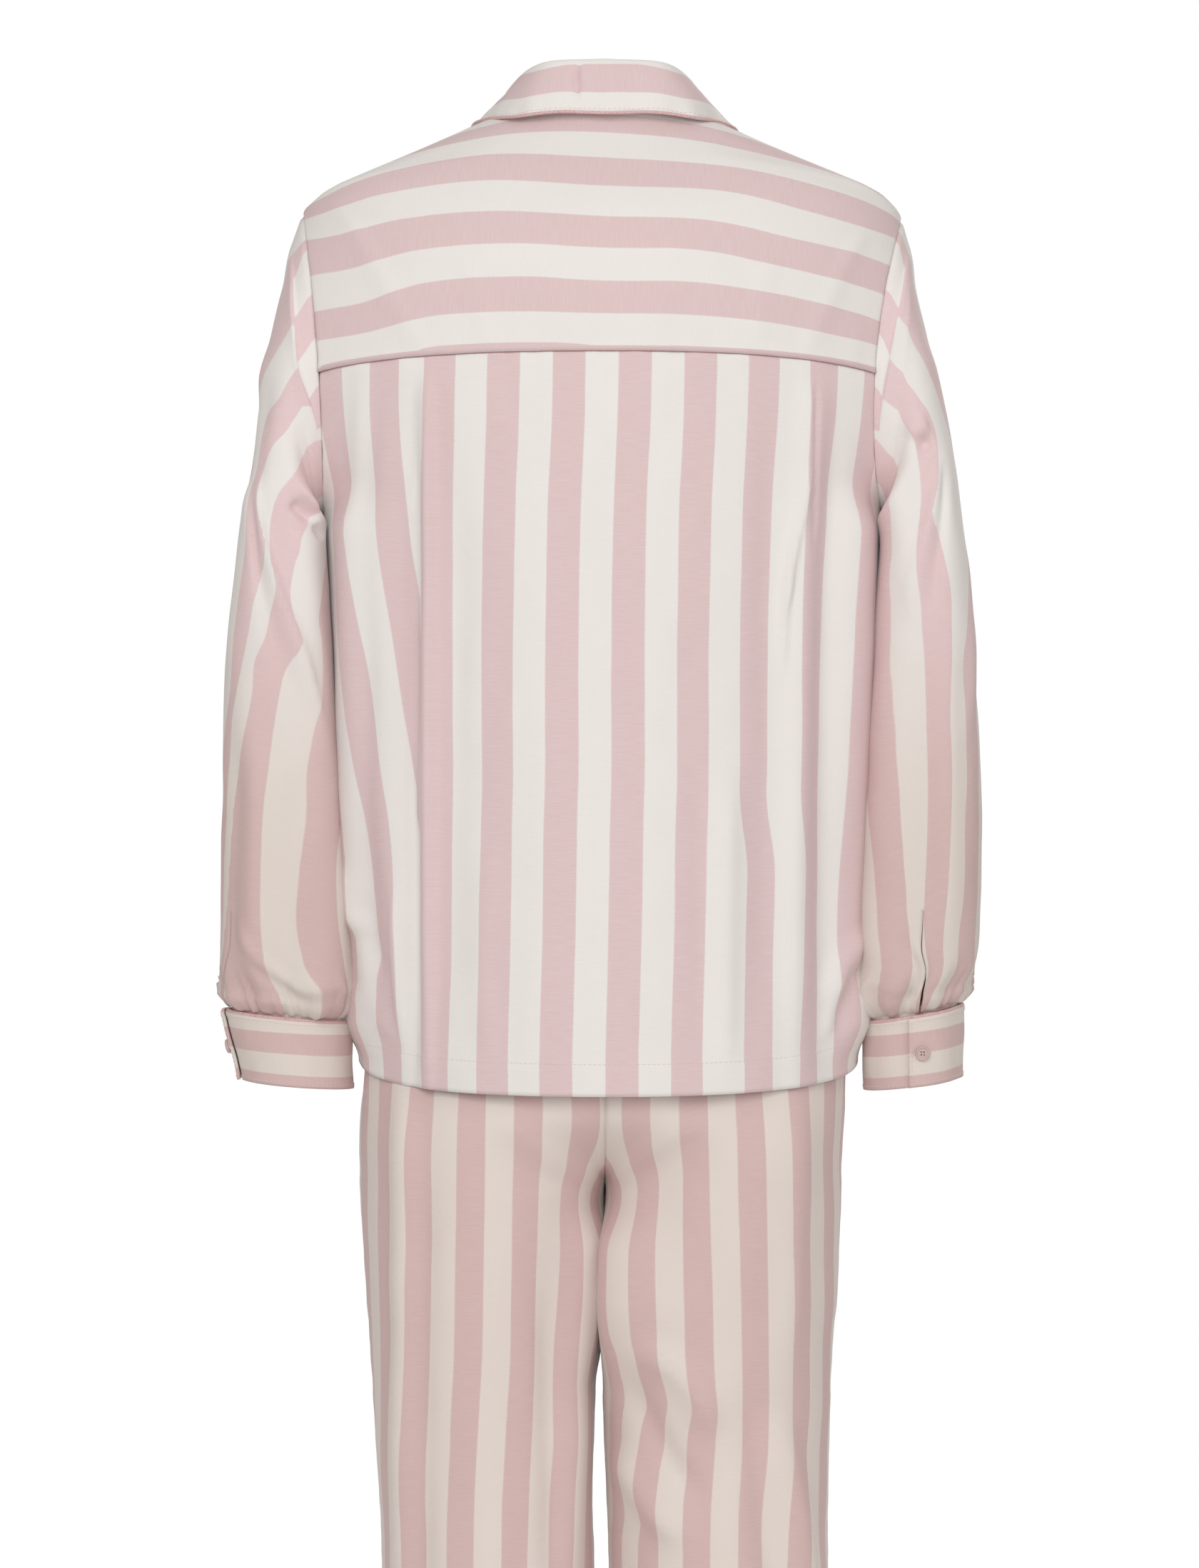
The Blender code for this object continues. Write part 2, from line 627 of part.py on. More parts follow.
def inset_share(share, trim):
    """Pull both ends of 0-1 in by a trim, so that neighbours stay a seam gap apart."""
    return mix(trim, 1 - trim, share)


BACK_ACROSS, BACK_UP = 32, 16
YOKE_ACROSS = 26
YOKE_LEVELS = (0.0, 0.13, 0.26, 0.39, 0.50, 0.60, 0.68, 0.76, 0.82, 0.88, 0.94, 1.0)
FRONT_ACROSS, FRONT_UP = 12, 18
SIDE_TRIM = 0.0016
SEAM_TRIM = 0.0018
YOKE_TRIM = 0.0018

sheet("jacket_back", BACK_ACROSS, BACK_UP,
      lambda a, u: back_point(mix(-1, 1, inset_share(a, SIDE_TRIM / 2)), u * (1 - SEAM_TRIM)),
      CLOTH, CREAM_COTTON)


def yoke_sheet_point(across, up):
    level = YOKE_LEVELS[round(up * (len(YOKE_LEVELS) - 1))]
    return yoke_point(mix(-1, 1, inset_share(across, YOKE_TRIM)), max(level, SEAM_TRIM))


sheet("jacket_yoke", YOKE_ACROSS, len(YOKE_LEVELS) - 1, yoke_sheet_point, CLOTH, CREAM_COTTON)

for side in SIDES:
    sheet(f"jacket_front_{SIDES[side]}", FRONT_ACROSS, FRONT_UP,
          lambda a, u, side=side: front_point(side, a * (1 - SIDE_TRIM), u * (1 - SEAM_TRIM)),
          CLOTH, PINK_COTTON, turned=(side == RIGHT))


# ---------------------------------------------------------------- lapels and collar

LAPEL_WIDTH = rows(
    ("along", "width"),
    (0.00, 0.004),
    (0.30, 0.022),
    (0.70, 0.045),
    (1.00, 0.060),
)
LAPEL_CLEAR = 0.0032
FRONT_WIDTH = 0.19
LAPEL_FOOT_UP = {LEFT: 0.738, RIGHT: 0.675}


def lapel_point(side, outward, along):
    """Lapel: outward 0 at the roll line to 1 at the free edge, along from the break up."""
    up = mix(LAPEL_FOOT_UP[side], LAPEL_TOP_UP, along)
    width = read(LAPEL_WIDTH, "along", along, "width")
    reach = width / FRONT_WIDTH
    if outward == 0:
        rim = front_point(side, 0.0, up)
        return rim + Vector((-side * 0.0020, 0.0026, 0.0))
    return front_point(side, reach * outward, up, out=LAPEL_CLEAR)


for side in SIDES:
    sheet(f"lapel_{SIDES[side]}", 4, 9,
          lambda a, u, side=side: lapel_point(side, a, u), CLOTH, CREAM_COTTON,
          turned=(side == RIGHT))

# Collar rails, from the centre back (at 0) to the front end (at 1) of each side; drop is how
# much of the right shoulder's lower hang they share.
COLLAR = rows(
    ("at", "roll_x", "roll_y", "roll_z", "edge_x", "edge_y", "edge_z", "drop"),
    (0.00, 0.0000, -0.0560, 0.0690, 0.0000, -0.0680, 0.0325, 0.0),
    (0.25, 0.0420, -0.0450, 0.0672, 0.0570, -0.0570, 0.0345, 0.1),
    (0.50, 0.0635, -0.0040, 0.0550, 0.0860, -0.0050, 0.0350, 0.5),
    (0.65, 0.0660, 0.0220, 0.0450, 0.0930, 0.0290, 0.0270, 0.7),
    (0.80, 0.0590, 0.0500, 0.0170, 0.0990, 0.0590, 0.0020, 0.4),
    (1.00, 0.0475, 0.0830, -0.0260, 0.1020, 0.0830, -0.0400, 0.0),
)
COLLAR_CLOTH = 0.0018
COLLAR_ROLL = 0.0030
# Share of the collar's half length that is sewn to the yoke; the rest is on the front.
COLLAR_ON_YOKE = 0.62


def collar_seam(side, at):
    """Neckline seam: the yoke's inner edge, then the front's edge down to the notch."""
    if at <= COLLAR_ON_YOKE:
        edge = yoke_point(side * at / COLLAR_ON_YOKE, 1.0)
        inside = yoke_point(side * at / COLLAR_ON_YOKE, 0.97)
    else:
        up = mix(1.0, LAPEL_TOP_UP + 0.015, (at - COLLAR_ON_YOKE) / (1 - COLLAR_ON_YOKE))
        edge = front_point(side, 0.0, up)
        inside = front_point(side, 0.03, up)
    return edge + (edge - inside).normalized() * 0.0020 + Vector((0.0, 0.0, 0.0012))


def collar_point(across, along):
    """Collar: across -1 to 1 round the neck, along from the seam over the roll to the edge."""
    side = LEFT if across < 0 else RIGHT
    at = abs(across)
    seam = collar_seam(side, at)
    roll = Vector([read(COLLAR, "at", at, name) for name in ("roll_x", "roll_y", "roll_z")])
    edge = Vector([read(COLLAR, "at", at, name) for name in ("edge_x", "edge_y", "edge_z")])
    roll.x *= side
    edge.x *= side
    drop = NECK_DROP[side] * read(COLLAR, "at", at, "drop")
    roll.z -= drop
    edge.z -= drop
    out = (edge - roll)
    out.z = 0.0
    out.normalize()
    inner = roll - out * COLLAR_ROLL
    outer = roll + out * COLLAR_ROLL
    inner.z -= COLLAR_ROLL
    outer.z -= COLLAR_ROLL
    path = [seam, seam.lerp(inner, 0.5), inner, roll, outer, outer.lerp(edge, 0.33),
            outer.lerp(edge, 0.67), edge]
    return path[round(along * (len(path) - 1))]


COLLAR_ACROSS = 30
sheet("collar", COLLAR_ACROSS, 7, lambda a, u: collar_point(mix(-1, 1, a), u),
      COLLAR_CLOTH, PINK_COTTON, turned=True)


def collar_piping_point(across):
    """The piping lies just below the collar's free edge."""
    edge, inside = collar_point(across, 1.0), collar_point(across, 6 / 7)
    down = (edge - inside).normalized()
    return edge + down * (PIPING_RADIUS + SEAM_GAP + 0.0002)


piping("collar_piping", [collar_piping_point(mix(-0.995, 0.995, i / 36)) for i in range(37)],
       PIPING_RADIUS)


# ---------------------------------------------------------------- sleeves

SLEEVE_AROUND, SLEEVE_DOWN = 24, 18


def sleeve_sheet_point(side, around, down):
    """Sleeve sheet: its two long edges meet in one line that opens into the slit."""
    slit = CUFFS[side]["slit_turn"]
    point = sleeve_point(side, (slit + 360 * around) % 360, down)
    if down > SLIT_START and (around < 0.001 or around > 0.999):
        ahead = sleeve_point(side, slit + 4, down) - sleeve_point(side, slit - 4, down)
        opening = SLIT_HALF_WIDTH * ease((down - SLIT_START) / 0.10)
        point += ahead.normalized() * (opening if around < 0.5 else -opening)
    return point


for side in SIDES:
    sheet(f"sleeve_{SIDES[side]}", SLEEVE_AROUND, SLEEVE_DOWN,
          lambda a, u, side=side: sleeve_sheet_point(side, a, 1 - u),
          CLOTH, PINK_COTTON, closed=True, turned=(side == RIGHT))


# ---------------------------------------------------------------- cuffs

CUFF_AROUND = 28


def cuff_sheet_point(side, around, down):
    """Cuff band: a full turn and a lap, the lapping end lying outside the start."""
    cuff = CUFFS[side]
    turned = (360 + CUFF_LAP_TURN) * around
    turn = cuff["start_turn"] + turned
    out = CUFF_LAP_OUT * ease((turned - 330) / 40)
    return cuff_point(side, turn, down, inset=-out)


for side in SIDES:
    sheet(f"cuff_{SIDES[side]}", CUFF_AROUND, 3,
          lambda a, u, side=side: cuff_sheet_point(side, a, 1 - u),
          BAND, PINK_COTTON, turned=(side == RIGHT))
    rim = []
    for step in range(33):
        spot = cuff_sheet_point(side, mix(0.03, 0.985, step / 32), 0.0)
        middle = (cuff_point(side, 0, 0) + cuff_point(side, 180, 0)) / 2
        inward = middle - spot
        inward.z = 0.0
        spot += inward.normalized() * PIPING_RADIUS
        spot.z += PIPING_RADIUS + SEAM_GAP
        rim.append(spot)
    piping(f"cuff_piping_{SIDES[side]}", rim, PIPING_RADIUS)


# ---------------------------------------------------------------- trousers

TROUSER_ACROSS = 10
TROUSER_LEVELS = (0.0, 0.09, 0.18, 0.27, 0.36, 0.43, 0.50, 0.55, 0.60, 0.63, 0.66, 0.672,
                  0.69, 0.72, 0.76, 0.80, 0.86, 0.93, 1.0)
for side in SIDES:
    for panel, panel_name in ((-1, "back"), (1, "front")):
        def trouser_sheet_point(a, u, side=side, panel=panel):
            u = TROUSER_LEVELS[round(u * (len(TROUSER_LEVELS) - 1))]
            point = trouser_point(side, panel, a, u)
            if a < 0.001 or a > 0.999:
                point.y += panel * SEAM_GAP
            if u > 0.65 and a < 0.001:
                point.x += side * SEAM_GAP
            return point
        sheet(f"trouser_{panel_name}_{SIDES[side]}", TROUSER_ACROSS, len(TROUSER_LEVELS) - 1,
              trouser_sheet_point, CLOTH, CREAM_COTTON, turned=(side * panel > 0))

WAISTBAND_HEIGHT = 0.035
WAISTBAND_TAPER = 0.03


def waistband_point(around, up):
    """Elastic waistband: a closed band that stands on the trousers' upper edge."""
    turn = math.radians(360 * around)
    z = TROUSER_WAIST_Z + 2 * SEAM_GAP + WAISTBAND_HEIGHT * up
    depth = SEAT[-1]["back_depth"] if math.cos(turn) > 0 else SEAT[-1]["front_depth"]
    narrow = 1 - WAISTBAND_TAPER * up
    return Vector((SEAT[-1][RIGHT] * narrow * math.sin(turn), -depth * narrow * math.cos(turn), z))


sheet("waistband", 32, 2, waistband_point, BAND, CREAM_COTTON, closed=True)


# ---------------------------------------------------------------- buttons

FRONT_BUTTON_DIAMETER = 0.0125
CUFF_BUTTON_DIAMETER = 0.0100
FRONT_BUTTON_UPS = (0.630, 0.495, 0.360, 0.225, 0.090)

for number, up in enumerate(FRONT_BUTTON_UPS, start=1):
    across = LAP / (LAP + 0.18)
    facing = front_normal(RIGHT, across, up)
    centre = front_point(RIGHT, across, up) + facing * (BUTTON_THICKNESS / 2 + BUTTON_CLEAR)
    button(f"front_button_{number}", centre, facing, FRONT_BUTTON_DIAMETER)

for side in SIDES:
    cuff = CUFFS[side]
    lap = (360 + cuff["button_turn"] - cuff["start_turn"]) / (360 + CUFF_LAP_TURN)
    spot = cuff_sheet_point(side, lap, 0.52)
    round_way = cuff_sheet_point(side, lap + 0.01, 0.52) - cuff_sheet_point(side, lap - 0.01, 0.52)
    down_way = cuff_sheet_point(side, lap, 0.6) - cuff_sheet_point(side, lap, 0.4)
    facing = round_way.cross(down_way).normalized()
    centre_line = (cuff_point(side, 0, 0.5) + cuff_point(side, 180, 0.5)) / 2
    if facing.dot(spot - centre_line) < 0:
        facing = -facing
    button(f"cuff_button_{SIDES[side]}", spot + facing * (BUTTON_THICKNESS / 2 + BUTTON_CLEAR),
           facing, CUFF_BUTTON_DIAMETER)
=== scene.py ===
"""Striped cotton pyjama set, dressed round its solid frame: jacket over straight trousers."""
import math
from functools import partial

import bmesh
import bpy
from mathutils import Matrix, Vector, noise
from mathutils.bvhtree import BVHTree


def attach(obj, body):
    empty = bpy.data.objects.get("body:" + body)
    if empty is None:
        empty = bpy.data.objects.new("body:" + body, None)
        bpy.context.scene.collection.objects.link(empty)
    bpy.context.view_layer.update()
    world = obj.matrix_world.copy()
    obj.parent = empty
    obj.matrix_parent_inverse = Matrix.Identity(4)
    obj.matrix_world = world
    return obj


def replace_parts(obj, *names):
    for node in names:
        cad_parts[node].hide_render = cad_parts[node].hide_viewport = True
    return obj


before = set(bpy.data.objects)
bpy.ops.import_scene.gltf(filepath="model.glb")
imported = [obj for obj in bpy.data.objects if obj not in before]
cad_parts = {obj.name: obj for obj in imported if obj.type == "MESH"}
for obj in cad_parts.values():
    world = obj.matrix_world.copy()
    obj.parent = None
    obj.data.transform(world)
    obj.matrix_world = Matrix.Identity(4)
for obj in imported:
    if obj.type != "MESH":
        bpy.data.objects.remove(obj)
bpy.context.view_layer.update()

LEFT, RIGHT = -1, 1
SIDES = {LEFT: "left", RIGHT: "right"}


# ---------------------------------------------------------------- room and camera
# A pale floor below the hems and a white room. Soft lights stand beside and behind the
# camera, another lights the far side, and the camera looks at the set's back.

scene = bpy.context.scene
scene.view_settings.view_transform = "Standard"


def in_scene(name, data):
    """Object of a mesh, curve, light or camera, put in the scene."""
    made = bpy.data.objects.new(name, data)
    scene.collection.objects.link(made)
    return made


def mesh_of(name, bm):
    """Mesh of a bmesh that is done with."""
    mesh = bpy.data.meshes.new(name)
    bm.to_mesh(mesh)
    bm.free()
    return mesh


def new_finish(name, values):
    """A material with plain values on its shader, and the shader's nodes and links."""
    made = bpy.data.materials.new(name)
    made.use_nodes = True
    nodes, links = made.node_tree.nodes, made.node_tree.links
    shader = nodes["Principled BSDF"]
    for socket, value in values.items():
        shader.inputs[socket].default_value = value
    return made, nodes, links, shader


camera_data = bpy.data.cameras.new("camera")
camera_data.sensor_fit = "VERTICAL"
camera_data.sensor_height = 36.0
camera_data.lens = 133.77
camera = in_scene("camera", camera_data)
camera.location = (-0.0039, -4.0, -0.252)
camera.rotation_euler = (math.radians(90 - 2.4445), 0.0, 0.0)
scene.camera = camera

room = bpy.data.worlds.new("white_room")
room.use_nodes = True
scene.world = room
room_nodes, room_links = room.node_tree.nodes, room.node_tree.links
seen = room_nodes.new("ShaderNodeBackground")
seen.inputs["Color"].default_value = (1.0, 1.0, 1.0, 1.0)
fill = room_nodes["Background"]
fill.inputs["Color"].default_value = (1.0, 0.955, 0.92, 1.0)
fill.inputs["Strength"].default_value = 0.46
ray = room_nodes.new("ShaderNodeLightPath")
either = room_nodes.new("ShaderNodeMixShader")
room_links.new(ray.outputs["Is Camera Ray"], either.inputs["Fac"])
room_links.new(fill.outputs["Background"], either.inputs[1])
room_links.new(seen.outputs["Background"], either.inputs[2])
room_links.new(either.outputs["Shader"], room_nodes["World Output"].inputs["Surface"])

# Soft lights: place, the point each faces, width and power.
SOFT_LIGHTS = (
    ("key", (-0.9, -3.1, 1.3), (0.0, 0.0, -0.25), 1.8, 42.0),
    ("front", (0.3, -5.2, 0.1), (0.0, 0.0, -0.40), 1.6, 46.0),
    ("side", (2.6, -2.6, 0.6), (0.0, 0.0, -0.40), 1.6, 16.0),
    ("far", (0.9, 4.6, 1.1), (0.0, 0.0, -0.50), 2.4, 105.0),
)
for light_name, place, target, width, power in SOFT_LIGHTS:
    light_data = bpy.data.lights.new(light_name, "AREA")
    light_data.size = width
    light_data.energy = power
    light = in_scene(light_name, light_data)
    light.location = place
    light.rotation_euler = (Vector(target) - Vector(place)).to_track_quat("-Z", "Y").to_euler()

FLOOR_Z = -1.500
FLOOR_RADIUS = 2.2
FLOOR_FADE = (0.5, 2.09)
bm = bmesh.new()
bmesh.ops.create_circle(bm, cap_ends=True, segments=64, radius=FLOOR_RADIUS)
bmesh.ops.translate(bm, verts=bm.verts, vec=(0.0, 0.0, FLOOR_Z))
floor = in_scene("floor", mesh_of("floor", bm))
floor_finish, nodes, links, floor_shader = new_finish(
    "pale_floor", {"Base Color": (0.90, 0.89, 0.88, 1.0), "Roughness": 0.9})
where = nodes.new("ShaderNodeTexCoord")
centred = nodes.new("ShaderNodeVectorMath")
centred.operation = "MULTIPLY"
centred.inputs[1].default_value = (1.0, 1.0, 0.0)
far_out = nodes.new("ShaderNodeVectorMath")
far_out.operation = "LENGTH"
rim_fade = nodes.new("ShaderNodeMapRange")
rim_fade.interpolation_type = "SMOOTHSTEP"
rim_fade.inputs["From Min"].default_value, rim_fade.inputs["From Max"].default_value = FLOOR_FADE
clear = nodes.new("ShaderNodeBsdfTransparent")
floor_mix = nodes.new("ShaderNodeMixShader")
links.new(where.outputs["Object"], centred.inputs[0])
links.new(centred.outputs["Vector"], far_out.inputs[0])
links.new(far_out.outputs["Value"], rim_fade.inputs["Value"])
links.new(rim_fade.outputs["Result"], floor_mix.inputs["Fac"])
links.new(floor_shader.outputs["BSDF"], floor_mix.inputs[1])
links.new(clear.outputs["BSDF"], floor_mix.inputs[2])
links.new(floor_mix.outputs["Shader"], nodes["Material Output"].inputs["Surface"])
floor.data.materials.append(floor_finish)


# ---------------------------------------------------------------- yoke
# One piece of cotton over both shoulders with its stripes crosswise, folded under and sewn
# down on the back panel. Here are also the cloth's own stripes, and the ways to read a
# table, lay a cut sheet and press folds into it, which every later piece uses.

CLOTH = 0.0013
BAND = 0.0022

CREAM = (0.855, 0.835, 0.815)
CREAM_WARM = (0.800, 0.765, 0.725)
PINK = (0.800, 0.640, 0.645)
PINK_DEEP = (0.735, 0.545, 0.555)
# Painted shade: these tints darken and warm the lower sleeves, the cuffs and the trousers, where
# the light is dimmer, and the pink a little more.
PAINTED_SHADE = (0.89, 0.84, 0.805)
LEG_PAINTED_SHADE = (0.93, 0.87, 0.84)
PINK_PAINTED_SHADE = 0.945
CLOUD_TINT = (0.64, 0.53, 0.48)
EDGE_SOFT = 0.0009
WARP_PITCH, WEFT_PITCH = 0.00052, 0.00060


def rows(names, *values):
    """A short table: one dictionary for each row, keyed by the column names."""
    return [dict(zip(names, row)) for row in values]


def mix(a, b, share):
    return a + (b - a) * share


def ease(share):
    share = min(max(share, 0.0), 1.0)
    return share * share * (3 - 2 * share)


def bell(offset, width):
    return math.exp(-((offset / width) ** 2))


def read(table, key, at, column):
    """Smooth value of a column where the key column holds at."""
    first, last = table[0], table[-1]
    if at <= first[key]:
        return first[column]
    if at >= last[key]:
        return last[column]
    low = max(i for i in range(len(table) - 1) if table[i][key] <= at)

    def slope(i):
        before, after = table[max(i - 1, 0)], table[min(i + 1, len(table) - 1)]
        return (after[column] - before[column]) / (after[key] - before[key])

    here, there = table[low], table[low + 1]
    span = there[key] - here[key]
    s = (at - here[key]) / span
    bend = here[column] * (2 * s**3 - 3 * s**2 + 1) + there[column] * (3 * s**2 - 2 * s**3)
    return bend + span * (slope(low) * (s**3 - 2 * s**2 + s) + slope(low + 1) * (s**3 - s**2))


def striped_cotton(name, stripe, start, shade_tint=(1.0, 1.0, 1.0), shade_tint_from=None):
    """Brushed cotton with woven stripes across U; the cloth's UVs are metres of flat cut.

    The tone is painted shade: it darkens and warms the cloth, the pink a little more. The
    heights (V) where the painted shade sets in and is full may be given; without them it
    holds everywhere.
    """
    made, nodes, links, shader = new_finish(name, {
        "Roughness": 0.88, "Specular IOR Level": 0.22, "Sheen Weight": 0.22,
        "Sheen Roughness": 0.45})

    def maths(kind, first, second=None, clamp=False):
        step = nodes.new("ShaderNodeMath")
        step.operation = kind
        step.use_clamp = clamp
        for socket, value in zip(step.inputs, (first, second)):
            if value is None:
                continue
            if isinstance(value, (int, float)):
                socket.default_value = value
            else:
                links.new(value, socket)
        return step.outputs[0]

    def clouds(scale_u, scale_v, detail, rough=0.5):
        spread = nodes.new("ShaderNodeMapping")
        spread.inputs["Scale"].default_value = (scale_u, scale_v, 1.0)
        links.new(cut.outputs["UV"], spread.inputs["Vector"])
        cloud = nodes.new("ShaderNodeTexNoise")
        cloud.inputs["Scale"].default_value = 1.0
        cloud.inputs["Detail"].default_value = detail
        cloud.inputs["Roughness"].default_value = rough
        links.new(spread.outputs["Vector"], cloud.inputs["Vector"])
        return cloud.outputs["Fac"]

    def blend(share, low, high):
        step = nodes.new("ShaderNodeMix")
        step.data_type = "RGBA"
        for socket, value in ((step.inputs["Factor"], share), (step.inputs[6], low),
                              (step.inputs[7], high)):
            if isinstance(value, tuple):
                socket.default_value = (*value, 1.0)
            elif isinstance(value, float):
                socket.default_value = value
            else:
                links.new(value, socket)
        return step.outputs[2]

    cut = nodes.new("ShaderNodeUVMap")
    split = nodes.new("ShaderNodeSeparateXYZ")
    links.new(cut.outputs["UV"], split.inputs["Vector"])

    # Stripe: distance from the middle of the pink band, with an edge a thread or two soft.
    wander = maths("MULTIPLY", maths("SUBTRACT", clouds(25.0, 14.0, 2.0), 0.5), 0.0012)
    fray = maths("MULTIPLY", maths("SUBTRACT", clouds(900.0, 1500.0, 1.0), 0.5), 0.0007)
    place = maths("ADD", split.outputs["X"], maths("ADD", wander, fray))
    turn = maths("FRACT", maths("DIVIDE", maths("SUBTRACT", place, start), 2 * stripe))
    off_middle = maths("ABSOLUTE", maths("SUBTRACT", turn, 0.25))
    wrapped = maths("MINIMUM", off_middle, maths("SUBTRACT", 1.0, off_middle))
    edge = maths("SUBTRACT", 0.25, wrapped)
    pink_part = maths("ADD", maths("MULTIPLY", edge, 2 * stripe / EDGE_SOFT), 0.5, clamp=True)

    # Slubs run along the weft, across the stripes; the brushed face is cloudy.
    slub = clouds(70.0, 1400.0, 3.0, 0.6)
    thread = clouds(1600.0, 170.0, 2.0, 0.6)
    cloudy = clouds(26.0, 18.0, 4.0, 0.6)
    cream = blend(maths("MULTIPLY", slub, 0.55), CREAM, CREAM_WARM)
    deep = maths("MULTIPLY_ADD", slub, 1.5, clamp=True)
    deep.node.inputs[2].default_value = -0.38
    pink = blend(deep, PINK, PINK_DEEP)
    woven = blend(pink_part, cream, pink)
    shade = blend(maths("MULTIPLY", cloudy, 0.14), woven, CLOUD_TINT)
    # Painted shade: the tint multiplies the cloth's colour, a little deeper on the pink.
    shade_tinted = blend(1.0, shade, blend(pink_part, shade_tint, tuple(PINK_PAINTED_SHADE * part for part in shade_tint)))
    shade_tinted.node.blend_type = "MULTIPLY"
    if shade_tint_from:
        amount = nodes.new("ShaderNodeMapRange")
        amount.interpolation_type = "SMOOTHSTEP"
        amount.inputs["From Min"].default_value, amount.inputs["From Max"].default_value = shade_tint_from
        links.new(split.outputs["Y"], amount.inputs["Value"])
        links.new(amount.outputs["Result"], shade_tinted.node.inputs["Factor"])
    links.new(shade_tinted, shader.inputs["Base Color"])

    # Weave: warp and weft threads, with the slubs standing a little higher.
    def threads(axis, pitch):
        wave = maths("SINE", maths("MULTIPLY", split.outputs[axis], 2 * math.pi / pitch))
        return maths("MULTIPLY_ADD", wave, 0.5)

    cross = maths("MULTIPLY", threads("X", WARP_PITCH), threads("Y", WEFT_PITCH))
    height = maths("ADD", maths("MULTIPLY", cross, 0.35),
                   maths("ADD", maths("MULTIPLY", slub, 0.9), maths("MULTIPLY", thread, 0.5)))
    bump = nodes.new("ShaderNodeBump")
    bump.inputs["Strength"].default_value = 0.35
    bump.inputs["Distance"].default_value = 0.0004
    links.new(height, bump.inputs["Height"])
    links.new(bump.outputs["Normal"], shader.inputs["Normal"])
    return made


def fold_height(table, s, t):
    """Height of a table's folds at a place: each runs from its head (s0, t0) to its foot.

    Width and height are in metres; bow bends the fold sideways, and lean makes one flank
    steeper than the other.
    """
    total = 0.0
    for fold in table:
        ds, dt = fold["s1"] - fold["s0"], fold["t1"] - fold["t0"]
        length = math.hypot(ds, dt)
        along = ((s - fold["s0"]) * ds + (t - fold["t0"]) * dt) / length**2
        if not -0.2 < along < 1.2:
            continue
        side = ((s - fold["s0"]) * dt - (t - fold["t0"]) * ds) / length
        side -= 4 * fold["bow"] * along * (1 - along)
        width = fold["width"] * (1 + fold["lean"] if side > 0 else 1 - fold["lean"])
        if abs(side) > 3 * width:
            continue
        fade = ease((along + 0.2) / 0.4) * ease((1.2 - along) / 0.4)
        total += fold["height"] * fade * bell(side, width)
    return total


FOLD_COLUMNS = ("s0", "t0", "s1", "t1", "width", "height", "bow", "lean")


def ripple(x, y, z, seed):
    """Soft unevenness between -1 and 1."""
    return noise.noise(Vector((x, y, z + 17.3 * seed)))


def waves(table, point, seed=0):
    """Height of a cloth's soft waves: each has its height, its scales by x, z and y, a seed."""
    return sum(height * ripple(point.x * by_x, point.z * by_z, point.y * by_y, own_seed + seed)
               for height, by_x, by_z, by_y, own_seed in table)


# Rows to each side over which the cloth's outward direction is taken, and the distance
# within which two corners are one.
NORMAL_ROWS = 3
MERGE = 1e-6


def add_piece(name, data, finish):
    """A finished piece on the set's one body."""
    piece = in_scene(name, data)
    piece.data.materials.append(finish)
    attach(piece, "root")
    return piece


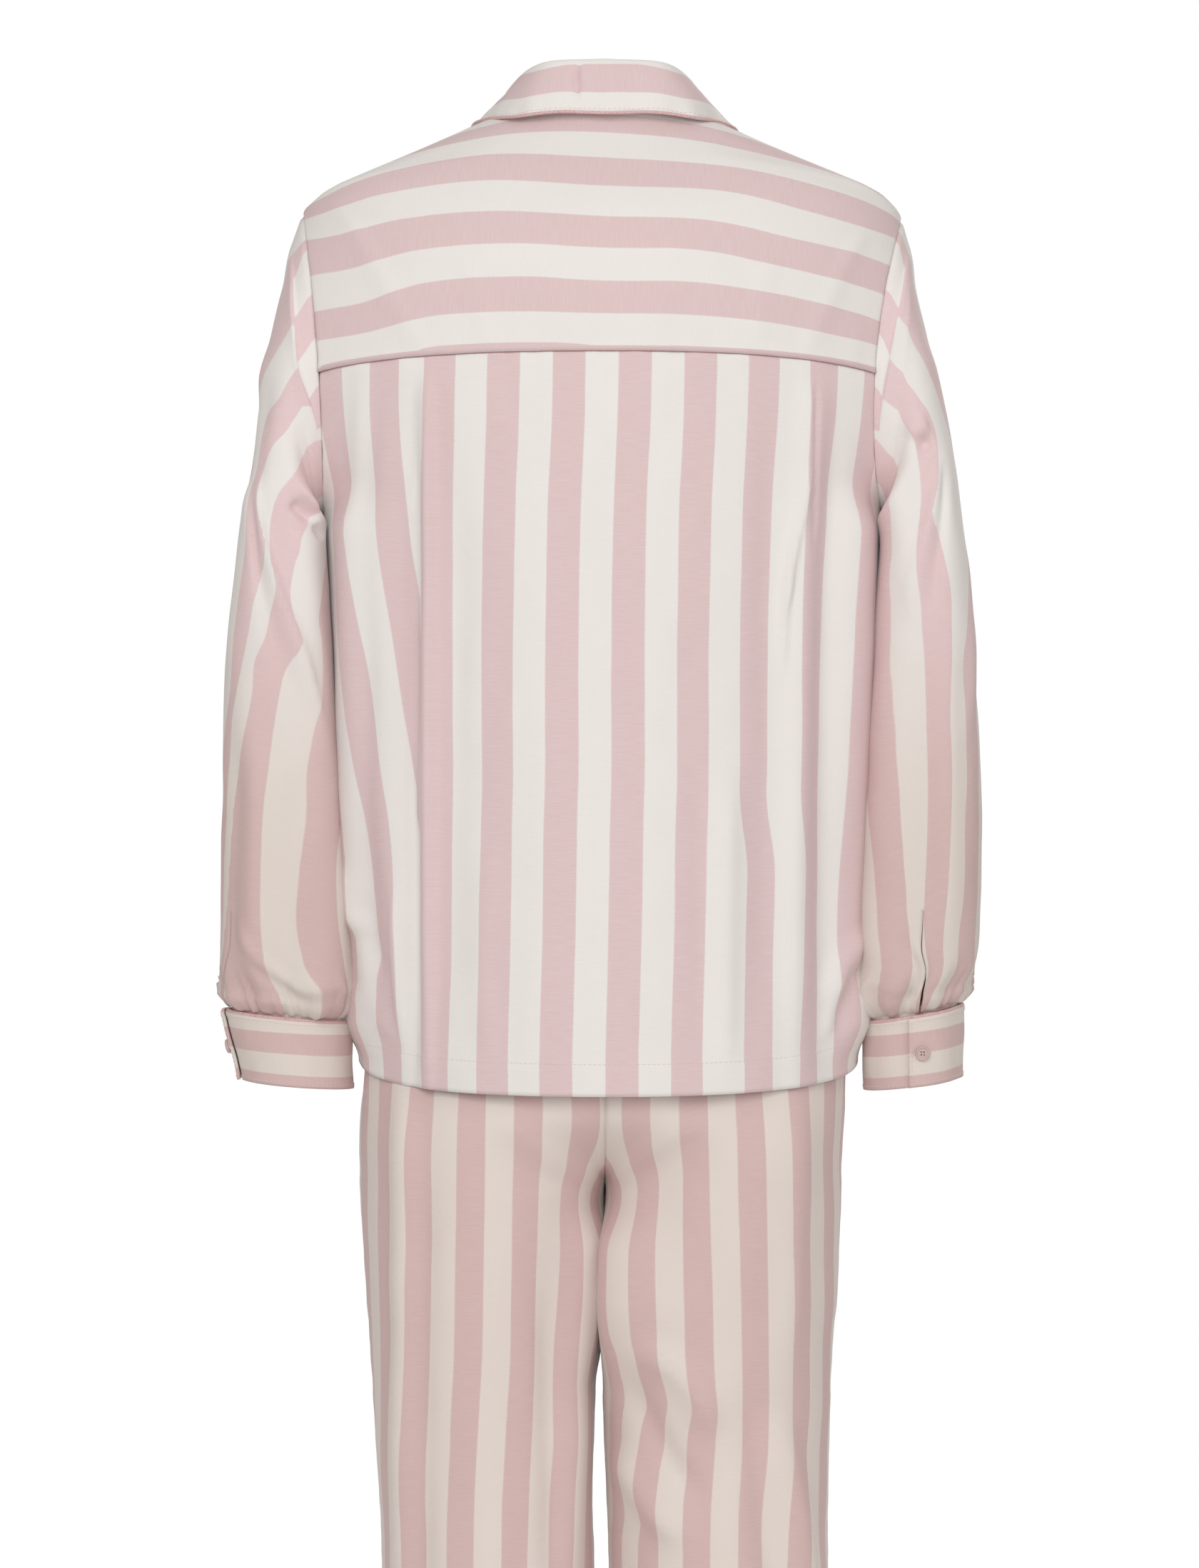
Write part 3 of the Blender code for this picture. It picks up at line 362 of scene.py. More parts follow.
def cut_sheet(name, cells, place, relief, finish, wall, stripe_row=None,
              stripes_along="across", middle=0.5, joined=None, flip=False):
    """A cut piece of cloth laid over place(across, up), with its folds pressed out by relief.

    Its UVs are metres along the cloth: U runs across the stripes, counted from the middle,
    or as stripe_row says; stripes_along says which way the stripes lie on the piece. A
    stripe_row gives each column of a row a value for the cell before it and one for the cell
    after it, and is asked below and above the row, so that the stripes can break at a fold.
    Where joined(up) holds, the two long edges are sewn together.
    """
    count_a, count_u = cells
    base = [[place(i / count_a, j / count_u) for i in range(count_a + 1)]
            for j in range(count_u + 1)]
    closed = [joined is not None and joined(j / count_u) for j in range(count_u + 1)]

    def neighbour(i, j, step):
        if closed[j]:
            return (i + step) % count_a
        return min(max(i + step, 0), count_a)

    laid = []
    for j in range(count_u + 1):
        line = []
        for i in range(count_a + 1):
            along = base[j][neighbour(i, j, 1)] - base[j][neighbour(i, j, -1)]
            rise = base[min(j + NORMAL_ROWS, count_u)][i] - base[max(j - NORMAL_ROWS, 0)][i]
            outward = rise.cross(along) if flip else along.cross(rise)
            outward.normalize()
            height = relief(i / count_a, j / count_u, base[j][i])
            line.append(base[j][i] + outward * height)
        if closed[j]:
            line[-1] = line[0].copy()
        laid.append(line)

    first = round(middle * count_a)
    across_length = []
    for line in laid:
        lengths = [0.0] * (count_a + 1)
        for i in range(first + 1, count_a + 1):
            lengths[i] = lengths[i - 1] + (line[i] - line[i - 1]).length
        for i in range(first - 1, -1, -1):
            lengths[i] = lengths[i + 1] - (line[i + 1] - line[i]).length
        across_length.append(lengths)
    up_length = [[0.0] * (count_a + 1)]
    for j in range(1, count_u + 1):
        up_length.append([up_length[-1][i] + (laid[j][i] - laid[j - 1][i]).length
                          for i in range(count_a + 1)])

    below_u = [[(length, length) for length in lengths] for lengths in across_length]
    above_u = below_u
    if stripe_row:
        below_u, above_u = ([stripe_row((j + step) / count_u, across_length[j], laid[j])
                             for j in range(count_u + 1)] for step in (-0.01, 0.01))

    bm = bmesh.new()
    bmesh.ops.create_grid(bm, x_segments=count_a, y_segments=count_u, size=0.5)
    uv_layer = bm.loops.layers.uv.new("cut")
    for face in bm.faces:
        face_x, face_y = face.calc_center_median().xy
        for loop in face.loops:
            i = round((loop.vert.co.x + 0.5) * count_a)
            j = round((loop.vert.co.y + 0.5) * count_u)
            read_u = above_u if loop.vert.co.y < face_y else below_u
            across_m = read_u[j][i][1 if loop.vert.co.x < face_x else 0]
            up_m = up_length[j][i]
            loop[uv_layer].uv = {"across": (across_m, up_m),
                                 "level": (across_m, across_length[j][i]),
                                 "from edge": (up_m - up_length[-1][i], across_m),
                                 "up": (up_m, across_m)}[stripes_along]
    for vert in bm.verts:
        i = round((vert.co.x + 0.5) * count_a)
        j = round((vert.co.y + 0.5) * count_u)
        vert.co = laid[j][i]
    if any(closed):
        bmesh.ops.remove_doubles(bm, verts=bm.verts, dist=MERGE)
    if flip:
        bmesh.ops.reverse_faces(bm, faces=bm.faces)
    mesh = mesh_of(name, bm)
    mesh.shade_smooth()
    piece = add_piece(name, mesh, finish)
    solidify = piece.modifiers.new("cloth wall", "SOLIDIFY")
    solidify.thickness = wall
    solidify.offset = -1.0
    return piece


def surface_of(piece):
    """Search tree of a piece's outer face, to lay stitches, cords and buttons on it."""
    bm = bmesh.new()
    bm.from_mesh(piece.data)
    tree = BVHTree.FromBMesh(bm)
    bm.free()
    return tree


# Armhole seam: a tall oval on edge between the shoulder tip and the underarm.
ARMHOLES = {
    LEFT: {"tip_x": 0.2065, "tip_z": -0.033, "under_x": 0.1930, "under_z": -0.240,
           "back_scoop": 0.0055, "front_scoop": 0.016},
    RIGHT: {"tip_x": 0.2025, "tip_z": -0.037, "under_x": 0.1880, "under_z": -0.238,
            "back_scoop": 0.0125, "front_scoop": 0.016},
}
ARMHOLE_DEPTH = 0.063
YOKE_BACK_TURN = 93
YOKE_FRONT_TURN = -30
YOKE_TIP = 0.60
YOKE_FRONT = 0.76
YOKE_LENGTH = 0.188
YOKE_DROP = 2.4
YOKE_RINGS = rows(
    ("up", "z", "depth"),
    (0.000, -0.1290, 0.1180), (0.133, -0.1040, 0.1178), (0.266, -0.0790, 0.1160),
    (0.400, -0.0545, 0.1115), (0.532, -0.0320, 0.1020), (0.665, -0.0115, 0.0885),
    (0.798, 0.0085, 0.0735), (0.931, 0.0290, 0.0600), (1.000, 0.0405, 0.0540),
)
NECK_CORNER = Vector((0.0660, 0.0220, 0.0360))
NECK_DROP = {LEFT: 0.0, RIGHT: 0.0070}
SHOULDER_DIP = {LEFT: 0.0025, RIGHT: 0.0050}


def armhole(side, turn):
    """Point of the armhole seam: turn 0 is the shoulder tip, 90 the back, 180 the underarm."""
    hole = ARMHOLES[side]
    rise = math.cos(math.radians(turn))
    back = math.sin(math.radians(turn))
    scoop = hole["back_scoop"] if back > 0 else hole["front_scoop"]
    x = mix(hole["under_x"], hole["tip_x"], (1 + rise) / 2) - scoop * back * back
    z = mix(hole["under_z"], hole["tip_z"], (1 + rise) / 2)
    return Vector((side * x, -ARMHOLE_DEPTH * back, z))


def ring_point(share, end, centre_z, depth, drop):
    """Point of a ring from the centre back (share 0) to an end point (share 1).

    The ring is an oval as far as the side; past it, over the shoulder, it runs straight on.
    """
    z = mix(centre_z, end.z, share**drop)
    if end.y <= 0:
        reach = abs(end.x) / math.sqrt(1 - (end.y / depth) ** 2)
        turn = share * math.asin(abs(end.x) / reach)
        return Vector((math.copysign(reach * math.sin(turn), end.x), -depth * math.cos(turn), z))
    quarter = math.pi / 2 * math.sqrt((end.x**2 + depth**2) / 2)
    side_share = quarter / (quarter + end.y)
    if share > side_share:
        return Vector((end.x, end.y * (share - side_share) / (1 - side_share), z))
    turn = math.pi / 2 * share / side_share
    return Vector((end.x * math.sin(turn), -depth * math.cos(turn), z))


def front_seam(side, share):
    """Seam between front and yoke, from the armhole (share 0) to the neckline (share 1)."""
    outer = armhole(side, YOKE_FRONT_TURN)
    inner = Vector((side * NECK_CORNER.x, NECK_CORNER.y, NECK_CORNER.z - NECK_DROP[side]))
    point = outer.lerp(inner, share)
    point.z -= SHOULDER_DIP[side] * math.sin(math.pi * share)
    return point


def yoke_point(across, up):
    """Yoke: across -1 to 1 between the armholes, up from the back seam to the neckline."""
    side = LEFT if across < 0 else RIGHT
    if up < YOKE_TIP:
        end = armhole(side, mix(YOKE_BACK_TURN, 0, up / YOKE_TIP))
    elif up < YOKE_FRONT:
        end = armhole(side, mix(0, YOKE_FRONT_TURN, (up - YOKE_TIP) / (YOKE_FRONT - YOKE_TIP)))
    else:
        end = front_seam(side, (up - YOKE_FRONT) / (1 - YOKE_FRONT))
    z, depth = read(YOKE_RINGS, "up", up, "z"), read(YOKE_RINGS, "up", up, "depth")
    return ring_point(abs(across), end, z, depth, YOKE_DROP)


# Soft folds of the yoke: s is across (m from the centre back), t is up (m from the seam).
YOKE_FOLDS = rows(
    FOLD_COLUMNS,
    (-0.150, 0.105, -0.120, 0.006, 0.010, 0.0012, 0.006, 0.2),
    (-0.080, 0.060, -0.072, 0.000, 0.007, 0.0008, 0.0, 0.0),
    (-0.034, 0.070, -0.028, 0.004, 0.008, 0.0006, 0.0, 0.0),
    (0.036, 0.075, 0.032, 0.000, 0.009, 0.0006, 0.0, 0.0),
    (0.096, 0.060, 0.104, 0.004, 0.009, 0.0010, 0.0, 0.0),
    (0.160, 0.080, 0.140, 0.004, 0.010, 0.0014, -0.004, 0.0),
    (-0.165, 0.120, -0.070, 0.150, 0.012, -0.0012, 0.0, 0.0),
    (0.060, 0.155, 0.165, 0.115, 0.013, -0.0014, 0.0, 0.0),
)
YOKE_HALF_WIDTH = 0.21
YOKE_EDGE, YOKE_EDGE_WIDTH = 0.0012, 0.0035
SEAM_VALLEY = 0.0008
SEAM_VALLEY_WIDTH = 0.0022


def seam_dip(distance):
    """The valley that a seam presses into the cloth beside it."""
    return -SEAM_VALLEY * bell(distance, SEAM_VALLEY_WIDTH)


def pucker(along, distance, seed, height=0.0006, reach=0.014):
    """Small gathers that a row of stitches draws up, fading away from the seam."""
    return height * ripple(along * 75, 0.0, 0.0, seed) * math.exp(-distance / reach)


def yoke_relief(across, up, point):
    s = mix(-YOKE_HALF_WIDTH, YOKE_HALF_WIDTH, across)
    t = up * YOKE_LENGTH
    to_side = (1 - abs(2 * across - 1)) * 0.2
    fade = ease(to_side / 0.03) * ease(t / 0.008)
    height = fold_height(YOKE_FOLDS, s, t) * fade
    height += 0.0009 * ripple(s * 14, t * 22, 0.0, 1) * fade
    height += YOKE_EDGE * bell(t, YOKE_EDGE_WIDTH)
    height += pucker(s, t, 2) + pucker(t, to_side, 3, 0.0005)
    return height + seam_dip(to_side)


# Where the stripes' edges lie on the yoke, by the place across: pink from the seam to a,
# cream to b, pink to c and so on, each as a share of the way up.
YOKE_STRIPE = 0.0220
YOKE_STRIPES = rows(
    ("across", *"abcdefghi"),
    (-1.00, 0.000, 0.074, 0.145, 0.245, 0.370, 0.490, 0.610, 0.730, 0.840),
    (-0.75, 0.004, 0.084, 0.172, 0.285, 0.415, 0.540, 0.665, 0.785, 0.880),
    (-0.50, 0.021, 0.126, 0.238, 0.354, 0.485, 0.612, 0.742, 0.842, 0.920),
    (-0.25, 0.024, 0.138, 0.260, 0.380, 0.510, 0.650, 0.778, 0.872, 0.945),
    (0.00, 0.016, 0.130, 0.246, 0.364, 0.486, 0.618, 0.748, 0.866, 0.946),
    (0.25, 0.017, 0.127, 0.240, 0.356, 0.472, 0.602, 0.720, 0.838, 0.930),
    (0.50, 0.014, 0.107, 0.205, 0.299, 0.404, 0.525, 0.655, 0.780, 0.885),
    (0.75, 0.006, 0.082, 0.163, 0.244, 0.347, 0.457, 0.590, 0.715, 0.830),
    (1.00, 0.001, 0.068, 0.128, 0.200, 0.290, 0.400, 0.520, 0.640, 0.760),
)
YOKE_REACH = {"middle": 0.19, "more_at_side": 0.48}


def yoke_stripes(up, arcs, line):
    """Metres across the stripes on a row of the yoke, read from the edges' table."""
    values = []
    for column in range(len(line)):
        across = 2 * column / (len(line) - 1) - 1
        edges = [0.0] + [read(YOKE_STRIPES, "across", across, name) for name in "abcdefghi"]
        if up >= edges[-1]:
            reach = YOKE_REACH["middle"] + YOKE_REACH["more_at_side"] * abs(across)
            value = YOKE_STRIPE * (len(edges) - 1) + (up - edges[-1]) * reach
        else:
            low = max(i for i in range(len(edges) - 1) if edges[i] <= max(up, 0.0))
            value = YOKE_STRIPE * (low + (up - edges[low]) / max(edges[low + 1] - edges[low], 1e-4))
        values.append((value, value))
    return values


YOKE_COTTON = striped_cotton("yoke_cotton", YOKE_STRIPE, 0.0)
yoke = cut_sheet("yoke_cloth", (140, 60), lambda a, u: yoke_point(mix(-1, 1, a), u),
                 yoke_relief, YOKE_COTTON, CLOTH, stripe_row=yoke_stripes,
                 stripes_along="level")
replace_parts(yoke, "jacket_yoke")


# ---------------------------------------------------------------- back panel
# One panel of cotton, stripes lengthwise, hung from the yoke. Ease over the shoulder blades
# falls into long folds at both sides, and the hem is turned up once and stitched.

SIDE_SEAM = rows(
    ("z", LEFT, RIGHT),
    (-0.612, 0.1692, 0.1735), (-0.570, 0.1695, 0.1722), (-0.500, 0.1730, 0.1715),
    (-0.420, 0.1790, 0.1755), (-0.340, 0.1850, 0.1805), (-0.280, 0.1895, 0.1848),
    (-0.238, 0.1930, 0.1880),
)
HEM_SIDE_Z = -0.612
BACK_UNDERARM = 0.78
BACK_DROP = 3.0
BACK_RINGS = rows(
    ("up", "z", "depth"),
    (0.00, -0.626, 0.1300), (0.20, -0.528, 0.1270), (0.40, -0.428, 0.1245),
    (0.60, -0.328, 0.1225), (0.78, -0.238, 0.1215), (1.00, -0.1295, 0.1180),
)


def side_seam(side, z):
    return Vector((side * read(SIDE_SEAM, "z", z, side), 0.0, z))


def back_point(across, up):
    """Back panel: across -1 (left) to 1 (right), up from the hem to the yoke seam."""
    side = LEFT if across < 0 else RIGHT
    if up < BACK_UNDERARM:
        end = side_seam(side, mix(HEM_SIDE_Z, ARMHOLES[side]["under_z"], up / BACK_UNDERARM))
    else:
        turn = mix(180, YOKE_BACK_TURN, (up - BACK_UNDERARM) / (1 - BACK_UNDERARM))
        end = armhole(side, turn)
    depth = read(BACK_RINGS, "up", up, "depth")
    return ring_point(abs(across), end, read(BACK_RINGS, "up", up, "z"), depth, BACK_DROP)


# Folds of the back: s is the place across (m), t the height (m), both in the set's frame.
BACK_FOLDS = rows(
    FOLD_COLUMNS,
    (-0.1185, -0.160, -0.1180, -0.600, 0.0060, 0.0062, 0.000, 0.30),
    (-0.1275, -0.190, -0.1285, -0.600, 0.0050, -0.0066, 0.000, 0.00),
    (-0.1312, -0.218, -0.1275, -0.322, 0.0020, 0.0034, 0.0008, 0.00),
    (-0.1285, -0.384, -0.1250, -0.450, 0.0020, 0.0034, 0.0004, 0.00),
    (-0.1400, -0.500, -0.1370, -0.585, 0.0021, 0.0032, 0.0010, 0.00),
    (-0.1480, -0.200, -0.1400, -0.560, 0.0095, 0.0050, 0.003, 0.00),
    (-0.1640, -0.150, -0.1560, -0.440, 0.0075, 0.0034, 0.004, 0.00),
    (-0.1560, -0.330, -0.1530, -0.560, 0.0060, -0.0030, 0.002, 0.00),
    (-0.1000, -0.230, -0.1020, -0.540, 0.0110, -0.0022, 0.0, 0.0),
    (-0.0780, -0.470, -0.0800, -0.590, 0.0080, 0.0016, 0.003, 0.0),
    (0.1410, -0.150, 0.1365, -0.250, 0.0018, -0.0026, 0.0006, 0.0),
    (0.1330, -0.215, 0.1200, -0.300, 0.0020, 0.0036, 0.0010, 0.0),
    (0.1240, -0.250, 0.1190, -0.335, 0.0020, 0.0032, 0.0012, 0.0),
    (0.1380, -0.150, 0.1280, -0.600, 0.0100, 0.0062, 0.004, -0.25),
    (0.1110, -0.200, 0.1060, -0.560, 0.0110, -0.0030, 0.0, 0.0),
    (0.1520, -0.200, 0.1490, -0.590, 0.0085, -0.0042, 0.003, 0.0),
    (0.0820, -0.420, 0.0800, -0.600, 0.0100, 0.0034, 0.000, 0.25),
    (0.0640, -0.430, 0.0670, -0.600, 0.0085, -0.0022, 0.0, 0.0),
    (0.0250, -0.300, 0.0280, -0.560, 0.0190, 0.0016, 0.0, 0.0),
    (-0.0400, -0.280, -0.0380, -0.600, 0.0200, 0.0018, 0.0, 0.0),
    (-0.0050, -0.170, -0.0080, -0.420, 0.0230, -0.0014, 0.0, 0.0),
    (0.1700, -0.520, 0.1500, -0.566, 0.0052, 0.0036, 0.003, 0.0),
    (0.1660, -0.545, 0.1560, -0.590, 0.0048, -0.0040, 0.002, 0.0),
    (0.1560, -0.552, 0.1500, -0.590, 0.0042, 0.0026, 0.0, 0.0),
    (-0.1700, -0.480, -0.1600, -0.520, 0.0050, 0.0034, 0.002, 0.0),
    (-0.1660, -0.520, -0.1640, -0.560, 0.0042, -0.0036, 0.0, 0.0),
    (-0.1600, -0.500, -0.1500, -0.545, 0.0052, -0.0026, 0.002, 0.0),
    (-0.1560, -0.545, -0.1460, -0.590, 0.0060, 0.0026, 0.002, 0.0),
    (-0.0610, -0.2345, -0.0440, -0.2345, 0.0009, -0.0005, 0.0, 0.0),
)
BACK_HEIGHT = 0.50
BACK_HALF_WIDTH = 0.22
HEM_DEPTH = 0.022
HEM_STEP = 0.0005
UNDER_YOKE = 0.0040

# The stripes lean a little, and beyond the left fold they lie further out, by the cloth that
# the fold takes up. All in metres of cloth.
BACK_STRIPE = 0.0220
FOLD_LINE_X = -0.1228
RIGHT_TAKE_UP = {"metres": 0.008, "top_z": -0.42, "from_x": 0.066, "to_x": 0.130}
BACK_STRIPES = rows(
    ("z", "lean", "beyond_fold"),
    (-0.600, 0.000, 0.046), (-0.520, 0.002, 0.046), (-0.450, 0.003, 0.044),
    (-0.410, 0.004, 0.038), (-0.330, 0.004, 0.027), (-0.255, 0.005, 0.017),
    (-0.220, 0.006, 0.014), (-0.180, 0.008, 0.012), (-0.140, 0.009, 0.013),
)
# Both flanks are pressed flat against the sleeves.
BODY_PRESS = {"x": 0.168, "width": 0.014, "height": 0.0118, "top_z": -0.212}
BACK_CELLS = (200, 150)
FOLD_SHARE = 0.17


def back_across(share, up):
    """Across for a column's share: one column runs down the left fold's line."""
    wide = back_point(-1.0, up)
    reach = read(BACK_RINGS, "up", up, "depth")
    full = abs(wide.x) / math.sqrt(1 - (wide.y / reach) ** 2)
    fold = -math.asin(abs(FOLD_LINE_X) / full) / math.asin(abs(wide.x) / full)
    if share <= FOLD_SHARE:
        return mix(-1.0, fold, share / FOLD_SHARE)
    if share <= 0.5:
        return mix(fold, 0.0, (share - FOLD_SHARE) / (0.5 - FOLD_SHARE))
    return 2 * share - 1


def back_sheet_point(share, up):
    point = back_point(back_across(share, up), up)
    point.z += UNDER_YOKE * ease((up - 0.988) / 0.012)
    return point


BACK_WAVES = ((0.0014, 16, 6, 0, 4), (0.0008, 50, 24, 0, 5))


def back_relief(share, up, point):
    across = back_across(share, up)
    to_side = (1 - abs(across)) * BACK_HALF_WIDTH
    to_yoke = (1 - up) * BACK_HEIGHT
    hem = up * BACK_HEIGHT
    fade = ease(to_yoke / 0.030) * ease(to_side / 0.02)
    height = fold_height(BACK_FOLDS, point.x, point.z) * fade
    height += waves(BACK_WAVES, point) * fade
    beside_arm = ease((BODY_PRESS["top_z"] - point.z) / 0.04) * ease((point.z - HEM_SIDE_Z) / 0.03)
    flank = bell(abs(point.x) - BODY_PRESS["x"], BODY_PRESS["width"])
    height += BODY_PRESS["height"] * flank * beside_arm
    height += pucker(point.x, to_yoke, 6, 0.0011, 0.020)
    height += pucker(point.z, to_side, 7, 0.0006)
    height += HEM_STEP * ease((HEM_DEPTH - hem) / 0.001)
    height += pucker(point.x, abs(hem - HEM_DEPTH), 8, 0.0006, 0.008)
    height -= 0.0018 * ease((0.004 - to_yoke) / 0.003)
    return height + seam_dip(to_side)


def back_stripes(up, arcs, line):
    """Metres across the stripes on a row, with the break at the left fold's column."""
    lean = read(BACK_STRIPES, "z", line[len(line) // 2].z, "lean")
    columns = len(line) - 1
    fold_column = round(FOLD_SHARE * columns)
    smooth = [back_sheet_point(column / columns, min(max(up, 0.0), 1.0))
              for column in range(columns + 1)]
    lengths = [0.0]
    for here, there in zip(smooth, smooth[1:]):
        lengths.append(lengths[-1] + (there - here).length)
    across = []
    for column, point in enumerate(line):
        arc = lengths[column] - lengths[columns // 2]
        beyond = read(BACK_STRIPES, "z", point.z, "beyond_fold")
        taken = RIGHT_TAKE_UP["metres"] * ease((RIGHT_TAKE_UP["top_z"] - point.z) / 0.06)
        taken *= ease((point.x - RIGHT_TAKE_UP["from_x"]) / 0.03)
        taken *= 1 - ease((point.x - RIGHT_TAKE_UP["to_x"]) / 0.03)
        here = arc - lean - taken
        out = arc - beyond
        across.append((out if column <= fold_column else here,
                       out if column < fold_column else here))
    return across


BACK_COTTON = striped_cotton("back_cotton", BACK_STRIPE, 0.0)
back = cut_sheet("back_cloth", BACK_CELLS, back_sheet_point, back_relief, BACK_COTTON, CLOTH,
                 stripe_row=back_stripes)
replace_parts(back, "jacket_back")


def sewing_thread(name, colour):
    """Twisted cotton thread; its finish also makes the dark cord of painted shadow under the yoke's
    edge.
    """
    return new_finish(name, {"Base Color": (*colour, 1.0), "Roughness": 0.6,
                             "Sheen Weight": 0.2})[0]


THREAD = sewing_thread("pale_thread", (0.80, 0.665, 0.65))
STITCH_PITCH = 0.0033
STITCH_LENGTH = 0.0025
THREAD_RADIUS = 0.00024


def thread_bar(bm, centre, along, normal, length, radius=THREAD_RADIUS):
    """One visible length of thread, lying on the cloth."""
    across = normal.cross(along).normalized()
    lie = Matrix((along.normalized(), across, normal)).transposed().to_4x4()
    lie.translation = centre
    lie = lie @ Matrix.Diagonal((length / 2, radius, radius, 1.0))
    bmesh.ops.create_icosphere(bm, subdivisions=1, radius=1.0, matrix=lie)


def stitch_along(bm, tree, path):
    """A row of stitches along a path, each laid on the nearest cloth."""
    left_over = 0.0
    for start, end in zip(path, path[1:]):
        span = (end - start).length
        while left_over < span:
            spot, normal, _, _ = tree.find_nearest(start.lerp(end, left_over / span))
            thread_bar(bm, spot + normal * THREAD_RADIUS * 0.5, end - start, normal, STITCH_LENGTH)
            left_over += STITCH_PITCH
        left_over -= span


def sewn(name, bm, finish=THREAD):
    """Makes one piece of the stitches gathered in a bmesh."""
    mesh = mesh_of(name, bm)
    mesh.shade_smooth()
    add_piece(name, mesh, finish)


def stitched(name, piece, *paths):
    """Rows of stitches along the paths over a piece."""
    bm = bmesh.new()
    tree = surface_of(piece)
    for path in paths:
        stitch_along(bm, tree, path)
    sewn(name, bm)


def steps(first, last, count):
    return [mix(first, last, step / count) for step in range(count + 1)]


# Painted shadow: a dark red-brown cord laid just under the yoke's lower edge stands for the thin
# shadow in the seam's gap.
SEAM_SHADOW = sewing_thread("seam_shadow_cord", (0.40, 0.215, 0.205))
SEAM_SHADOW_DROP = 0.0004
SEAM_SHADOW_RADIUS = 0.00042
seam_shadow_bars = bmesh.new()
yoke_edge = [yoke_point(across, 0.0) - Vector((0.0, 0.0, SEAM_SHADOW_DROP))
             for across in steps(-0.985, 0.985, 170)]
back_tree = surface_of(back)
for start, end in zip(yoke_edge, yoke_edge[1:]):
    spot, normal, _, _ = back_tree.find_nearest((start + end) / 2)
    thread_bar(seam_shadow_bars, (start + end) / 2 + normal * THREAD_RADIUS, end - start, normal,
               (end - start).length * 1.3, SEAM_SHADOW_RADIUS)
sewn("yoke_seam_shadow_cord", seam_shadow_bars, SEAM_SHADOW)

stitched("back_hem_stitches", back, [back_sheet_point(share, HEM_DEPTH / BACK_HEIGHT)
                                     for share in steps(0.008, 0.992, 120)])


# ---------------------------------------------------------------- fronts
# Two panels, sewn to the yoke in front of the shoulder and to the back at the sides. The
# right one laps over the left, and the opening turns into a V above the top button.

LAP = 0.016
BREAK_UP = 0.665
NECKLINE_BEND = 0.9
LAPEL_TOP_UP = 0.905
RIGHT_OVER_LEFT = 0.0040
CHEST_TOP_UP = 0.80
FRONT_DROP = 2.2
FRONT_UNDERARM = 0.60
FRONT_RINGS = rows(
    ("up", "z", "depth"),
    (0.00, -0.620, 0.1280), (0.15, -0.525, 0.1235), (0.30, -0.430, 0.1225),
    (0.45, -0.335, 0.1310), (0.60, -0.238, 0.1360), (0.70, -0.165, 0.1260),
    (0.80, -0.098, 0.1090), (0.90, -0.034, 0.0780), (1.00, 0.0360, 0.0220),
)


def front_edge_x(up):
    """Where the front's inner edge lies: the lap below the break, a V above it."""
    if up <= BREAK_UP:
        return -LAP
    return mix(-LAP, NECK_CORNER.x, ((up - BREAK_UP) / (1 - BREAK_UP)) ** NECKLINE_BEND)


def front_point(side, across, up, out=0.0):
    """Front panel: across 0 at the inner edge to 1 at the side, up from hem to yoke seam."""
    if up < FRONT_UNDERARM:
        end = side_seam(side, mix(HEM_SIDE_Z, ARMHOLES[side]["under_z"], up / FRONT_UNDERARM))
    else:
        turn = mix(180, 360 + YOKE_FRONT_TURN, (up - FRONT_UNDERARM) / (1 - FRONT_UNDERARM))
        end = armhole(side, turn)
    depth = read(FRONT_RINGS, "up", up, "depth")
    flat = ease((up - CHEST_TOP_UP) / (1 - CHEST_TOP_UP))
    x = mix(front_edge_x(up), abs(end.x), across)
    level = end.y / depth if end.y < 0.9 * depth else 0.9
    reach = abs(end.x) / math.sqrt(1 - level * level)
    oval_y = depth * math.sqrt(max(1 - (x / reach) ** 2, 0.0))
    y = mix(oval_y, mix(depth, end.y, across), flat)
    middle_z = read(FRONT_RINGS, "up", up, "z") - NECK_DROP[side] * flat
    z = mix(middle_z, end.z, mix(across**FRONT_DROP, across, flat))
    z -= SHOULDER_DIP[side] * math.sin(math.pi * across) * ease((up - 0.85) / 0.15)
    if across >= 1.0:
        y = end.y
    if side == RIGHT:
        lapped = 1 - ease((x + LAP) / 0.07)
        y += RIGHT_OVER_LEFT * lapped * (1 - ease((up - CHEST_TOP_UP) / 0.15))
    point = Vector((side * x, y, z))
    if out:
        point += out * front_normal(side, across, up)
    return point


def front_normal(side, across, up):
    """Outward direction of the front panel at a point."""
    step = 0.01
    a0, a1 = max(across - step, 0.0), min(across + step, 1.0)
    u0, u1 = max(up - step, 0.0), min(up + step, 1.0)
    along = front_point(side, a1, up) - front_point(side, a0, up)
    rise = front_point(side, across, u1) - front_point(side, across, u0)
    normal = along.cross(rise).normalized()
    return normal if normal.y > 0 else -normal


# Folds of a front: s is the distance from the centre (m), t the height (m).
FRONT_FOLDS = rows(
    FOLD_COLUMNS,
    (0.100, -0.160, 0.094, -0.600, 0.0160, 0.0055, 0.006, 0.30),
    (0.130, -0.230, 0.134, -0.600, 0.0110, -0.0025, 0.0, 0.0),
    (0.150, -0.180, 0.138, -0.420, 0.0090, 0.0035, 0.004, 0.0),
    (0.060, -0.260, 0.056, -0.600, 0.0160, 0.0020, 0.0, 0.0),
    (0.168, -0.210, 0.110, -0.250, 0.0080, 0.0022, 0.003, 0.0),
    (0.172, -0.235, 0.125, -0.310, 0.0080, -0.0020, 0.003, 0.0),
    (0.030, -0.400, 0.036, -0.600, 0.0120, -0.0014, 0.0, 0.0),
)
FRONT_WIDTH = 0.18
FRONT_HEIGHT = 0.66


